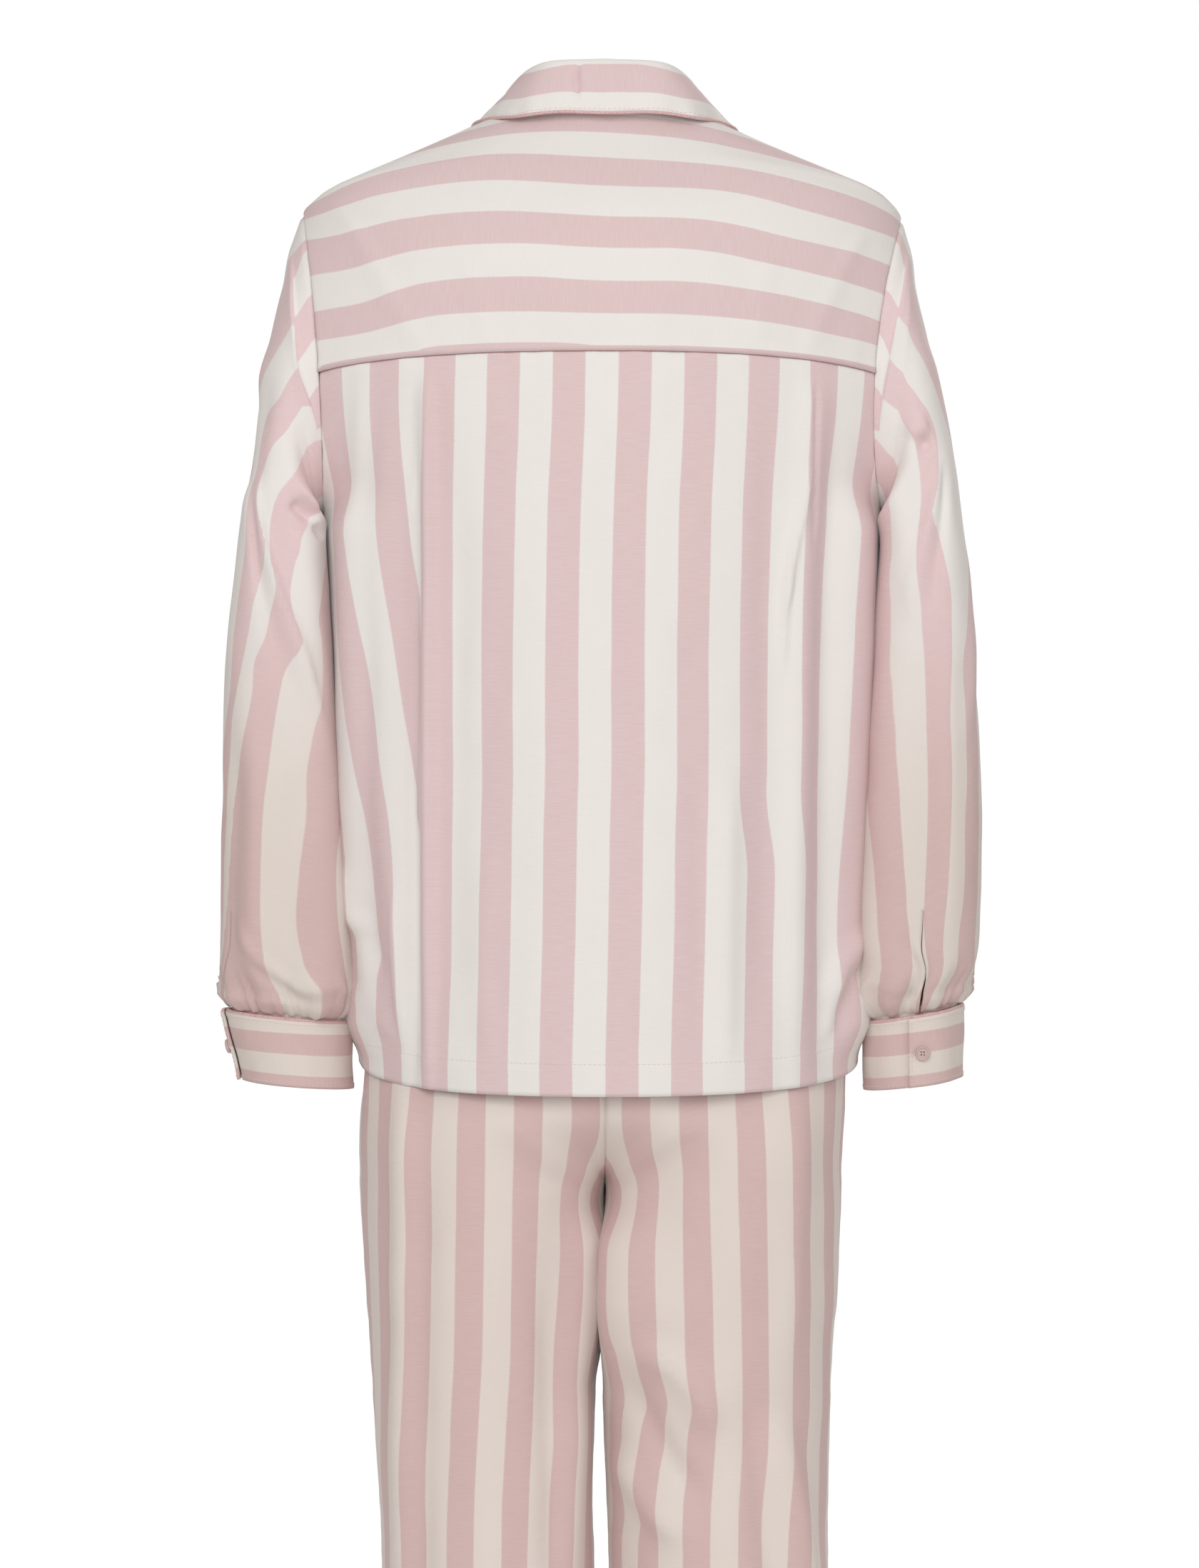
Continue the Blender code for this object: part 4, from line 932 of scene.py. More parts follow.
def front_relief(side, across, up, point):
    to_side = (1 - across) * FRONT_WIDTH
    to_edge = across * FRONT_WIDTH
    hem = up * FRONT_HEIGHT
    fade = ease(to_side / 0.02) * ease(to_edge / 0.035) * ease((1 - up) * FRONT_HEIGHT / 0.03)
    height = fold_height(FRONT_FOLDS, abs(point.x) + 0.004 * side, point.z) * fade
    height += 0.0011 * ripple(point.x * 15, point.z * 7, 0.0, 11) * fade
    height += 0.0003 * ripple(point.x * 60, point.z * 30, 0.0, 12) * ease(to_edge / 0.01)
    height += pucker(point.z, to_side, 13, 0.0006)
    height += HEM_STEP * ease((HEM_DEPTH - hem) / 0.001) * ease(to_edge / 0.004)
    return height + seam_dip(to_side)


def front_stripes(side, up, arcs, line):
    """Metres across the stripes on a row, counted from the lap's edge also beside the V."""
    cut_away = side * line[0].x + LAP
    return [(arc + cut_away, arc + cut_away) for arc in arcs]


FRONT_STRIPE = 0.0222
FRONT_STRIPES_FROM = 0.0110
PLACKET_STITCHES = {LEFT: (), RIGHT: (0.014, 0.150)}
FRONT_COTTON = striped_cotton("front_cotton", FRONT_STRIPE, FRONT_STRIPES_FROM)
fronts = {}
for side, side_name in SIDES.items():
    piece = cut_sheet(f"front_cloth_{side_name}", (66, 150), partial(front_point, side),
                      partial(front_relief, side), FRONT_COTTON, CLOTH, middle=0.0,
                      flip=(side == RIGHT), stripe_row=partial(front_stripes, side))
    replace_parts(piece, f"jacket_front_{side_name}")
    fronts[side] = piece
    stitched(f"front_stitches_{side_name}", piece,
             [front_point(side, across, HEM_DEPTH / FRONT_HEIGHT)
              for across in steps(0.0, 0.99, 60)],
             *([front_point(side, across, up) for up in steps(0.004, BREAK_UP, 160)]
               for across in PLACKET_STITCHES[side]))


# ---------------------------------------------------------------- lapels
# The upper corner of each front, turned back along the roll line and pressed.

LAPEL_WIDTH = rows(
    ("along", "width"),
    (0.00, 0.004), (0.30, 0.022), (0.70, 0.045), (1.00, 0.060),
)
LAPEL_SPAN = 0.19
LAPEL_CLEAR = 0.0032
LAPEL_FOOT_UP = {LEFT: 0.738, RIGHT: 0.675}


def lapel_point(side, outward, along):
    """Lapel: outward 0 at the roll line to 1 at the free edge, along from the break up."""
    up = mix(LAPEL_FOOT_UP[side], LAPEL_TOP_UP, along)
    reach = read(LAPEL_WIDTH, "along", along, "width") / LAPEL_SPAN
    rim = front_point(side, 0.0, up) + Vector((-side * 0.0020, 0.0026, 0.0))
    over = front_point(side, reach * outward, up, out=LAPEL_CLEAR)
    return rim.lerp(over, ease(outward * 4))


def lapel_relief(outward, along, point):
    return 0.0006 * math.sin(math.pi * outward) + 0.0003 * ripple(outward * 3, along * 6, 0.0, 21)


for side, side_name in SIDES.items():
    piece = cut_sheet(f"lapel_cloth_{side_name}", (24, 60), partial(lapel_point, side),
                      lapel_relief, FRONT_COTTON, CLOTH, middle=0.0, flip=(side == RIGHT))
    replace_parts(piece, f"lapel_{side_name}")
    stitched(f"lapel_stitches_{side_name}", piece,
             [lapel_point(side, 0.93, along) for along in steps(0.15, 0.97, 60)])


# ---------------------------------------------------------------- collar
# Two layers of cotton with the stripe along them, sewn into the neckline. It stands up
# inside the neck, rolls over and lies on the yoke, with a pink piping round its edge.

COLLAR = rows(
    ("at", "roll_x", "roll_y", "roll_z", "edge_x", "edge_y", "edge_z", "drop"),
    (0.00, 0.0000, -0.0560, 0.0690, 0.0000, -0.0680, 0.0325, 0.0),
    (0.25, 0.0420, -0.0450, 0.0672, 0.0570, -0.0570, 0.0345, 0.1),
    (0.50, 0.0635, -0.0040, 0.0550, 0.0860, -0.0050, 0.0350, 0.5),
    (0.65, 0.0660, 0.0220, 0.0450, 0.0930, 0.0290, 0.0270, 0.7),
    (0.80, 0.0590, 0.0500, 0.0170, 0.0990, 0.0590, 0.0020, 0.4),
    (1.00, 0.0475, 0.0830, -0.0260, 0.1020, 0.0830, -0.0400, 0.0),
)
COLLAR_CLOTH = 0.0018
COLLAR_ROLL = 0.0030
COLLAR_ON_YOKE = 0.62
COLLAR_ROWS = 36
COLLAR_COLUMNS = 240
COLLAR_LIES_DOWN = 0.0040


def collar_seam(side, at):
    """Neckline seam: the yoke's inner edge, then the front's edge down to the notch."""
    if at <= COLLAR_ON_YOKE:
        edge = yoke_point(side * at / COLLAR_ON_YOKE, 1.0)
        inside = yoke_point(side * at / COLLAR_ON_YOKE, 0.97)
    else:
        up = mix(1.0, LAPEL_TOP_UP + 0.015, (at - COLLAR_ON_YOKE) / (1 - COLLAR_ON_YOKE))
        edge = front_point(side, 0.0, up)
        inside = front_point(side, 0.03, up)
    return edge + (edge - inside).normalized() * 0.0020 + Vector((0.0, 0.0, 0.0012))


def smooth_path(path, share):
    """Point of a smooth line through the path's points, share 0 to 1."""
    place = share * (len(path) - 1)
    low = min(int(place), len(path) - 2)
    s = place - low
    before, start = path[max(low - 1, 0)], path[low]
    end, after = path[low + 1], path[min(low + 2, len(path) - 1)]
    return 0.5 * (2 * start + (end - before) * s + (2 * before - 5 * start + 4 * end - after) * s**2
                  + (3 * start - before - 3 * end + after) * s**3)


def collar_point(across, along):
    """Collar: across -1 to 1 round the neck, along from the seam over the roll to the edge."""
    side = LEFT if across < 0 else RIGHT
    at = abs(across)
    seam = collar_seam(side, at)
    roll = Vector([read(COLLAR, "at", at, name) for name in ("roll_x", "roll_y", "roll_z")])
    edge = Vector([read(COLLAR, "at", at, name) for name in ("edge_x", "edge_y", "edge_z")])
    roll.x *= side
    edge.x *= side
    drop = NECK_DROP[side] * read(COLLAR, "at", at, "drop")
    roll.z -= drop
    edge.z -= drop
    out = edge - roll
    out.z = 0.0
    out.normalize()
    inner = roll - out * COLLAR_ROLL
    outer = roll + out * COLLAR_ROLL
    inner.z -= COLLAR_ROLL
    outer.z -= COLLAR_ROLL
    path = [seam, seam.lerp(inner, 0.5), inner, roll, outer, outer.lerp(edge, 0.33),
            outer.lerp(edge, 0.67), edge]
    return smooth_path(path, along)


def collar_sheet_point(across, along):
    """Collar cloth: towards its ends the free edge lies closer on the shoulders."""
    point = collar_point(across, along)
    point.z -= COLLAR_LIES_DOWN * ease((along - 0.70) / 0.3) * ease((abs(across) - 0.10) / 0.20)
    return point


COLLAR_FOLDS = rows(
    FOLD_COLUMNS,
    (-0.018, 0.068, -0.0185, 0.044, 0.0016, -0.0030, 0.0, 0.5),
    (0.066, 0.062, 0.086, 0.040, 0.0040, -0.0016, 0.002, 0.0),
    (-0.060, 0.064, -0.080, 0.038, 0.0050, -0.0012, 0.0, 0.0),
)
COLLAR_WAVES = ((0.0006, 30, 20, 20, 31), (0.0004, 90, 30, 60, 32))
COLLAR_FALL = 0.085


def collar_relief(across, along, point):
    shown = ease((along - 0.55) / 0.1)
    height = fold_height(COLLAR_FOLDS, point.x, point.z) * shown
    height += waves(COLLAR_WAVES, point) * shown
    return height + pucker(point.x, (1 - along) * COLLAR_FALL, 33, 0.0022, 0.009)


COLLAR_COTTON = striped_cotton("collar_cotton", 0.0202, -0.0338)
collar = cut_sheet("collar_cloth", (COLLAR_COLUMNS, COLLAR_ROWS),
                   lambda a, u: collar_sheet_point(mix(-1, 1, a), u), collar_relief,
                   COLLAR_COTTON, COLLAR_CLOTH, stripes_along="from edge", flip=True)
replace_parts(collar, "collar")
stitched("collar_stitches", collar,
         [collar_sheet_point(across, 0.968) for across in steps(-0.985, 0.985, 150)])


def mottled(name, values, scale, dark, light, bumpy=0.0):
    """A finish clouded between two colours, each given with its place on the ramp."""
    made, nodes, links, shader = new_finish(name, values)
    where = nodes.new("ShaderNodeTexCoord")
    cloud = nodes.new("ShaderNodeTexNoise")
    cloud.inputs["Scale"].default_value = scale
    links.new(where.outputs["Object"], cloud.inputs["Vector"])
    ramp = nodes.new("ShaderNodeValToRGB")
    for element, (position, colour) in zip(ramp.color_ramp.elements, (dark, light)):
        element.position = position
        element.color = (*colour, 1.0)
    links.new(cloud.outputs["Fac"], ramp.inputs["Fac"])
    links.new(ramp.outputs["Color"], shader.inputs["Base Color"])
    if bumpy:
        bump = nodes.new("ShaderNodeBump")
        bump.inputs["Strength"].default_value = bumpy
        bump.inputs["Distance"].default_value = 0.0003
        links.new(cloud.outputs["Fac"], bump.inputs["Height"])
        links.new(bump.outputs["Normal"], shader.inputs["Normal"])
    return made


PIPING_RADIUS = 0.0011
PIPING_SATIN = mottled("piping_satin", {"Roughness": 0.55, "Sheen Weight": 0.2}, 900.0,
                       (0.35, (0.60, 0.355, 0.355)), (0.70, (0.76, 0.53, 0.52)), bumpy=0.4)


def piping(name, points):
    """A corded piping: a round tube through the given points."""
    curve = bpy.data.curves.new(name, "CURVE")
    curve.dimensions = "3D"
    curve.bevel_depth = PIPING_RADIUS
    curve.bevel_resolution = 2
    curve.use_fill_caps = True
    spline = curve.splines.new("POLY")
    spline.points.add(len(points) - 1)
    for spot, point in zip(spline.points, points):
        spot.co = (*point, 1.0)
    return add_piece(name, curve, PIPING_SATIN)


def collar_piping_point(across):
    """The piping lies just below the collar's free edge."""
    edge, inside = collar_sheet_point(across, 1.0), collar_sheet_point(across, 0.95)
    return edge + (edge - inside).normalized() * PIPING_RADIUS * 0.8


collar_cord = piping("collar_cord", [collar_piping_point(across)
                                     for across in steps(-0.995, 0.995, 180)])
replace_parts(collar_cord, "collar_piping")


# ---------------------------------------------------------------- sleeves
# Each is cut in one piece with the stripes along the arm, set into the armhole, joined
# under the arm, slit at the wrist and gathered into the cuff.

SEAM_GAP = 0.0003
SLEEVE_GAP = 0.0019
SLEEVE_COLUMNS = ("down", "outer_x", "outer_z", "inner_x", "inner_z", "back_y", "front_y")
SLEEVES = {
    LEFT: rows(
        SLEEVE_COLUMNS,
        (0.06, 0.2160, -0.0567, 0.1945, -0.2412, -0.0650, 0.0645),
        (0.12, 0.2240, -0.0930, 0.1955, -0.2436, -0.0665, 0.0660),
        (0.18, 0.2323, -0.1330, 0.1958, -0.2490, -0.0670, 0.0665),
        (0.26, 0.2391, -0.1885, 0.1940, -0.2620, -0.0665, 0.0665),
        (0.35, 0.2467, -0.2520, 0.1906, -0.2860, -0.0650, 0.0660),
        (0.44, 0.2520, -0.3010, 0.1889, -0.3170, -0.0635, 0.0645),
        (0.53, 0.2564, -0.3500, 0.1856, -0.3560, -0.0620, 0.0625),
        (0.63, 0.2584, -0.4088, 0.1814, -0.4110, -0.0605, 0.0590),
        (0.73, 0.2599, -0.4677, 0.1768, -0.4690, -0.0590, 0.0550),
        (0.82, 0.2609, -0.5170, 0.1736, -0.5180, -0.0570, 0.0500),
        (0.89, 0.2620, -0.5470, 0.1718, -0.5500, -0.0540, 0.0440),
        (0.95, 0.2630, -0.5660, 0.1736, -0.5720, -0.0480, 0.0360),
    ),
    RIGHT: rows(
        SLEEVE_COLUMNS,
        (0.06, 0.2085, -0.0567, 0.1895, -0.2392, -0.0650, 0.0645),
        (0.12, 0.2160, -0.0930, 0.1905, -0.2416, -0.0665, 0.0660),
        (0.18, 0.2235, -0.1330, 0.1910, -0.2470, -0.0670, 0.0665),
        (0.26, 0.2337, -0.1885, 0.1902, -0.2600, -0.0675, 0.0665),
        (0.35, 0.2405, -0.2520, 0.1867, -0.2840, -0.0665, 0.0660),
        (0.44, 0.2459, -0.3010, 0.1843, -0.3150, -0.0650, 0.0645),
        (0.53, 0.2499, -0.3500, 0.1814, -0.3560, -0.0635, 0.0625),
        (0.63, 0.2536, -0.4088, 0.1778, -0.4110, -0.0620, 0.0590),
        (0.73, 0.2552, -0.4677, 0.1748, -0.4690, -0.0605, 0.0550),
        (0.82, 0.2540, -0.5170, 0.1732, -0.5180, -0.0585, 0.0500),
        (0.89, 0.2515, -0.5450, 0.1738, -0.5500, -0.0550, 0.0440),
        (0.95, 0.2492, -0.5620, 0.1752, -0.5715, -0.0480, 0.0370),
    ),
}
SLEEVE_SKEW = -0.22
SLEEVE_GATHERS = 9
GATHER_DEPTH = 0.0022
WRIST_RADIUS = 0.045
CUFFS = {
    LEFT: {"outer_x": 0.2600, "inner_x": 0.1738, "foot_outer_x": 0.2490, "foot_inner_x": 0.1725,
           "top_outer_z": -0.5780, "top_inner_z": -0.5860, "foot_outer_z": -0.6250,
           "foot_inner_z": -0.6310, "back_y": -0.0430, "front_y": 0.0210,
           "slit_turn": 30.0, "slit_top_turn": 46.0, "start_turn": -28.0, "button_turn": -10.0},
    RIGHT: {"outer_x": 0.2465, "inner_x": 0.1762, "foot_outer_x": 0.2460, "foot_inner_x": 0.1775,
            "top_outer_z": -0.5740, "top_inner_z": -0.5860, "foot_outer_z": -0.6225,
            "foot_inner_z": -0.6320, "back_y": -0.0450, "front_y": 0.0240,
            "slit_turn": 86.0, "slit_top_turn": 104.0, "start_turn": 60.0, "button_turn": 84.0},
}
# The gathered sleeve runs down inside the cuff's upper edge by a short neck.
CUFF_TUCK = 0.0026
SLEEVE_NECK_HEIGHT = 0.0045
SLIT_START = 0.80
SLIT_HALF_WIDTH = 0.0006
ARM_METRES_PER_DEGREE = 0.00095
SEAM_TUCK = 0.0012
SEAM_SUNK = 0.0006
SEAM_TUCK_DOWN = 0.010


def cuff_point(side, turn, down, inset=0.0):
    """Point round the cuff: turn 0 outer side, 90 back; down 0 at the top, 1 at the edge."""
    cuff = CUFFS[side]
    outer_x = mix(cuff["outer_x"], cuff["foot_outer_x"], down) - inset
    inner_x = mix(cuff["inner_x"], cuff["foot_inner_x"], down) + inset
    outer_z = mix(cuff["top_outer_z"], cuff["foot_outer_z"], down)
    inner_z = mix(cuff["top_inner_z"], cuff["foot_inner_z"], down)
    out = math.cos(math.radians(turn))
    back = math.sin(math.radians(turn))
    half_depth = (cuff["front_y"] - cuff["back_y"]) / 2 - inset
    x = mix(inner_x, outer_x, (1 + out) / 2)
    z = mix(inner_z, outer_z, (1 + out) / 2)
    y = (cuff["back_y"] + cuff["front_y"]) / 2 - half_depth * back
    return Vector((side * x, y, z))


def sleeve_point(side, turn, down):
    """Point round the sleeve: turn 0 outer side, 90 back; down 0 at the armhole, 1 at the cuff."""
    seam = armhole(side, turn)
    seam.x += side * SLEEVE_GAP * 0.3
    table = SLEEVES[side]
    first, last = table[0]["down"], table[-1]["down"]
    at = min(max(down, first), last)
    outer_x, outer_z, inner_x, inner_z, back_y, front_y = (
        read(table, "down", at, name) for name in SLEEVE_COLUMNS[1:])
    out = math.cos(math.radians(turn))
    back = math.sin(math.radians(turn))
    swell = 1.0
    gather = ease((down - 0.84) / 0.10) * GATHER_DEPTH / WRIST_RADIUS
    swell += gather * math.cos(math.radians(turn * SLEEVE_GATHERS))
    y = (back_y + front_y) / 2 - (front_y - back_y) / 2 * back * swell
    x = mix(inner_x, outer_x, 0.5) + (outer_x - inner_x) / 2 * out * swell
    x += SLEEVE_SKEW * y * ease(down / 0.35) * ease((0.97 - down) / 0.10)
    z = mix(inner_z, outer_z, (1 + out) / 2)
    arm = Vector((side * x, y, z))
    if down < first:
        return seam.lerp(arm, down / first)
    if down > last:
        foot = cuff_point(side, turn, 0.0, inset=BAND + CUFF_TUCK)
        foot.z += 2 * SEAM_GAP
        neck = foot + Vector((0.0, 0.0, SLEEVE_NECK_HEIGHT))
        middle = (1 + last) / 2
        if down < middle:
            return arm.lerp(neck, (down - last) / (middle - last))
        return neck.lerp(foot, (down - middle) / (1 - middle))
    return arm


# Folds of the sleeves: s is the way round the arm (m from its outer line, towards the back),
# t the height (m).
SLEEVE_FRONT_FOLDS = (
    (0.230, -0.200, 0.250, -0.500, 0.0140, 0.0050, 0.006, 0.0),
    (0.285, -0.220, 0.275, -0.500, 0.0130, -0.0040, 0.0, 0.0),
    (0.310, -0.120, 0.265, -0.330, 0.0110, 0.0045, 0.0, 0.0),
)
SLEEVE_FOLDS = {
    LEFT: rows(
        FOLD_COLUMNS,
        (0.077, -0.228, 0.126, -0.372, 0.0046, 0.0044, -0.004, 0.35),
        (0.066, -0.232, 0.115, -0.376, 0.0060, -0.0034, -0.004, 0.0),
        (0.110, -0.229, 0.124, -0.240, 0.0050, -0.0056, 0.0, 0.0),
        (0.110, -0.217, 0.127, -0.228, 0.0055, 0.0036, 0.0, 0.0),
        (0.126, -0.244, 0.134, -0.252, 0.0040, -0.0044, 0.0, 0.0),
        (0.115, -0.250, 0.127, -0.335, 0.0090, 0.0026, 0.0, 0.0),
        (0.040, -0.152, 0.052, -0.218, 0.0380, -0.0046, 0.0, 0.0),
        (0.028, -0.070, 0.036, -0.125, 0.0380, -0.0022, 0.0, 0.0),
        (0.030, -0.150, 0.075, -0.260, 0.0120, 0.0020, 0.004, 0.0),
        (0.058, -0.400, 0.048, -0.540, 0.0110, -0.0026, 0.0, 0.0),
        (0.082, -0.400, 0.074, -0.545, 0.0120, 0.0032, 0.0, 0.0),
        (0.112, -0.420, 0.100, -0.550, 0.0080, -0.0024, 0.0, 0.0),
        (0.060, -0.520, 0.112, -0.562, 0.0060, 0.0034, 0.005, 0.0),
        (0.072, -0.540, 0.118, -0.570, 0.0050, -0.0024, 0.004, 0.0),
        *SLEEVE_FRONT_FOLDS,
    ),
    RIGHT: rows(
        FOLD_COLUMNS,
        (0.077, -0.188, 0.093, -0.193, 0.0046, -0.0058, 0.0, 0.0),
        (0.076, -0.177, 0.097, -0.182, 0.0055, 0.0034, 0.0, 0.0),
        (0.072, -0.212, 0.099, -0.296, 0.0060, -0.0032, -0.005, 0.3),
        (0.083, -0.214, 0.110, -0.300, 0.0056, 0.0036, -0.005, 0.0),
        (0.028, -0.070, 0.036, -0.125, 0.0380, -0.0022, 0.0, 0.0),
        (0.116, -0.215, 0.114, -0.300, 0.0080, 0.0022, 0.0, 0.0),
        (0.030, -0.250, 0.056, -0.380, 0.0120, 0.0024, 0.004, 0.0),
        (0.082, -0.330, 0.078, -0.520, 0.0120, 0.0026, 0.0, 0.0),
        (0.104, -0.360, 0.098, -0.500, 0.0080, -0.0022, 0.0, 0.0),
        (0.100, -0.530, 0.086, -0.566, 0.0045, 0.0030, 0.0, 0.0),
        (0.110, -0.525, 0.098, -0.568, 0.0040, -0.0026, 0.0, 0.0),
        *SLEEVE_FRONT_FOLDS,
    ),
}

# Below the armhole the sleeve's head rolls over a little: how far down its edge lies.
CAP_ROLL = {
    LEFT: rows(
        ("turn", "down"),
        (-70, 0.012), (-30, 0.036), (20, 0.044), (60, 0.052), (84, 0.058), (100, 0.036),
        (113, 0.014), (118, 0.012),
    ),
    RIGHT: rows(
        ("turn", "down"),
        (-70, 0.012), (-30, 0.034), (20, 0.040), (53, 0.038), (80, 0.030), (102, 0.018),
        (118, 0.012),
    ),
}
CAP_ROLL_ENDS = (18, 118)
CAP_ROLL_HEIGHT = {LEFT: 0.0036, RIGHT: 0.0030}
CAP_ROLL_SHARE = 0.05
SLEEVE_LENGTH = 0.56


def sleeve_down(side, turn, share):
    """How far down a row lies: one row follows the edge of the cap's roll."""
    turn = (turn + 180) % 360 - 180
    roll = read(CAP_ROLL[side], "turn", turn, "down")
    if share <= CAP_ROLL_SHARE:
        return roll * share / CAP_ROLL_SHARE
    return mix(roll, 1.0, (share - CAP_ROLL_SHARE) / (1 - CAP_ROLL_SHARE))


def cap_roll(side, turn, down):
    """Height of the cap's roll just below its edge."""
    turn = (turn + 180) % 360 - 180
    below = (down - read(CAP_ROLL[side], "turn", turn, "down")) * SLEEVE_LENGTH
    start, end = CAP_ROLL_ENDS
    shown = ease((turn - start) / 45) * ease((end - turn) / 26)
    swell = math.exp(-max(below, 0.0) / 0.020) * ease((below + 0.0016) / 0.0042)
    return CAP_ROLL_HEIGHT[side] * shown * swell


# Below the underarm the sleeve and the body are pressed flat against each other.
SLEEVE_PRESS = {"turn": 137, "width": 30, "height": 0.0170}


def sleeve_press(turn, down):
    bulge = bell(turn - SLEEVE_PRESS["turn"], SLEEVE_PRESS["width"])
    return SLEEVE_PRESS["height"] * bulge * ease((down - 0.09) / 0.10) * ease((0.985 - down) / 0.07)


# Above the cuff the gathered cloth blouses over the band's upper edge.
BLOUSE = {"down": 0.966, "width": 0.022, "height": 0.0034}
CUFF_PINCH = 0.0042
SLEEVE_WAVES = ((0.0014, 18, 8, 18, 40), (0.0009, 48, 26, 48, 42))


def sleeve_relief(side, turn, down, point):
    s = turn * ARM_METRES_PER_DEGREE
    height = fold_height(SLEEVE_FOLDS[side], s, point.z)
    height += fold_height(SLEEVE_FOLDS[side], s - 360 * ARM_METRES_PER_DEGREE, point.z)
    height += waves(SLEEVE_WAVES, point, side)
    ends = ease(down / 0.10) * ease((0.99 - down) / 0.06)
    pinch = CUFF_PINCH * ripple(turn * 0.16, point.z * 8, 0.0, 44 + side)
    height = height * ends + pinch * ease((down - 0.87) / 0.08) * ease((0.992 - down) / 0.015)
    height += cap_roll(side, turn, down) + sleeve_press(turn, down)
    height += BLOUSE["height"] * bell(down - BLOUSE["down"], BLOUSE["width"])
    return height - SEAM_SUNK * (1 - ease(down / SEAM_TUCK_DOWN))


# Where the stripes' edges lie on the sleeves: the turn round the arm of each edge, by how far
# down the arm. Between a and b the cloth is cream, from b to c pink, and so on.
SLEEVE_STRIPE = 0.0222
EDGE_COLUMNS = {LEFT: ("down", *"abcdefg"), RIGHT: ("down", *"abcde")}
SLEEVE_STRIPES = {
    LEFT: rows(
        EDGE_COLUMNS[LEFT],
        (0.00, 76, 90, 106, 119, 150, 170, 188),
        (0.03, 72, 87, 103, 118, 150, 169, 187),
        (0.06, 66, 84, 100, 118, 149, 168, 186),
        (0.10, 60, 80, 98, 118, 146, 166, 185),
        (0.15, 50, 74, 94, 114, 140, 162, 184),
        (0.20, 36, 58, 84, 108, 133, 158, 183),
        (0.24, 34, 57, 77, 102, 128, 154, 182),
        (0.28, 38, 62, 80, 99, 122, 150, 181),
        (0.31, 40, 64, 93, 98, 120, 147, 180),
        (0.34, 40, 66, 96, 99, 117, 142, 178),
        (0.38, 38, 63, 91, 104, 115, 137, 175),
        (0.42, 35, 59, 84, 103, 116, 133, 172),
        (0.46, 32, 56, 79, 98, 121, 134, 170),
        (0.50, 30, 55, 72, 86, 115, 136, 167),
        (0.54, 26, 52, 63, 83, 108, 135, 163),
        (0.58, 18, 42, 54, 75, 103, 129, 158),
        (0.63, 6, 28, 48, 62, 97, 123, 154),
        (0.68, -6, 12, 44, 52, 91, 122, 149),
        (0.75, -8, 10, 38, 46, 87, 116, 139),
        (0.82, -10, 8, 32, 38, 86, 113, 139),
        (0.92, -12, 6, 20, 28, 89, 120, 148),
    ),
    RIGHT: rows(
        EDGE_COLUMNS[RIGHT],
        (0.00, 64, 83, 101, 119, 142),
        (0.02, 65, 84, 101, 121, 144),
        (0.05, 67, 86, 102, 124, 150),
        (0.08, 67, 86, 103, 125, 156),
        (0.10, 65, 84, 102, 125, 160),
        (0.14, 59, 79, 99, 126, 172),
        (0.18, 52, 72, 101, 127, 178),
        (0.21, 46, 72, 104, 128, 183),
        (0.24, 40, 85, 107, 129, 185),
        (0.27, 36, 98, 110, 130, 186),
        (0.31, 34, 96, 112, 131, 187),
        (0.35, 36, 89, 112, 132, 188),
        (0.40, 44, 82, 111, 131, 188),
        (0.45, 55, 82, 110, 130, 188),
        (0.50, 67, 83, 108, 129, 187),
        (0.56, 66, 85, 107, 126, 176),
        (0.63, 63, 83, 105, 123, 153),
        (0.70, 66, 83, 104, 120, 142),
        (0.77, 65, 84, 104, 116, 135),
        (0.84, 69, 86, 102, 112, 131),
        (0.92, 62, 80, 90, 110, 124),
    ),
}
# The same between the armhole and the edge of the roll, from a turn at which both agree.
CAP_STRIPES_FROM = {LEFT: 34, RIGHT: 30}
CAP_STRIPES = {
    LEFT: rows(
        EDGE_COLUMNS[LEFT],
        (0.00, 41, 63, 80, 98, 114, 131, 149),
        (0.06, 45, 63, 82, 101, 120, 139, 158),
    ),
    RIGHT: rows(
        EDGE_COLUMNS[RIGHT],
        (0.00, 31, 59, 77, 98, 116),
        (0.04, 40, 62, 86, 104, 124),
    ),
}
# At the shoulder the outermost stripe turns with the arm: over this turn it is drawn wide.
TOP_STRIPE_WIDE = 48
ARM_GIRTH = rows(
    ("down", "girth"),
    (0.00, 0.430), (0.15, 0.420), (0.30, 0.346), (0.60, 0.322), (0.90, 0.290),
)
# Painted shade on the sleeves: darker and warmer from 0.36 m above the sleeve's lower end, full
# from 0.10 m down.
SLEEVE_COTTON = striped_cotton("sleeve_cotton", SLEEVE_STRIPE, 0.0, PAINTED_SHADE, (0.36, 0.10))


def slit_turn(side, share):
    """Turn of the sheet's two long edges, which are the slit lower down."""
    cuff = CUFFS[side]
    return mix(cuff["slit_top_turn"], cuff["slit_turn"], ease((share - 0.84) / 0.12))


def sleeve_sheet_point(side, around, up):
    """Sleeve sheet: its two long edges meet in one line that opens into the slit."""
    share = 1 - up
    slit = slit_turn(side, share)
    down = sleeve_down(side, slit + 360 * around, share)
    point = sleeve_point(side, (slit + 360 * around) % 360, down)
    point.x -= side * SEAM_TUCK * (1 - ease(down / SEAM_TUCK_DOWN))
    if down > SLIT_START and (around < 0.001 or around > 0.999):
        ahead = sleeve_point(side, slit + 4, down) - sleeve_point(side, slit - 4, down)
        opening = SLIT_HALF_WIDTH * ease((down - SLIT_START) / 0.10)
        point += ahead.normalized() * (opening if around < 0.5 else -opening)
    return point


def sleeve_sheet_relief(side, around, up, point):
    turn = slit_turn(side, 1 - up) + 360 * around
    return sleeve_relief(side, turn % 360, sleeve_down(side, turn, 1 - up), point)


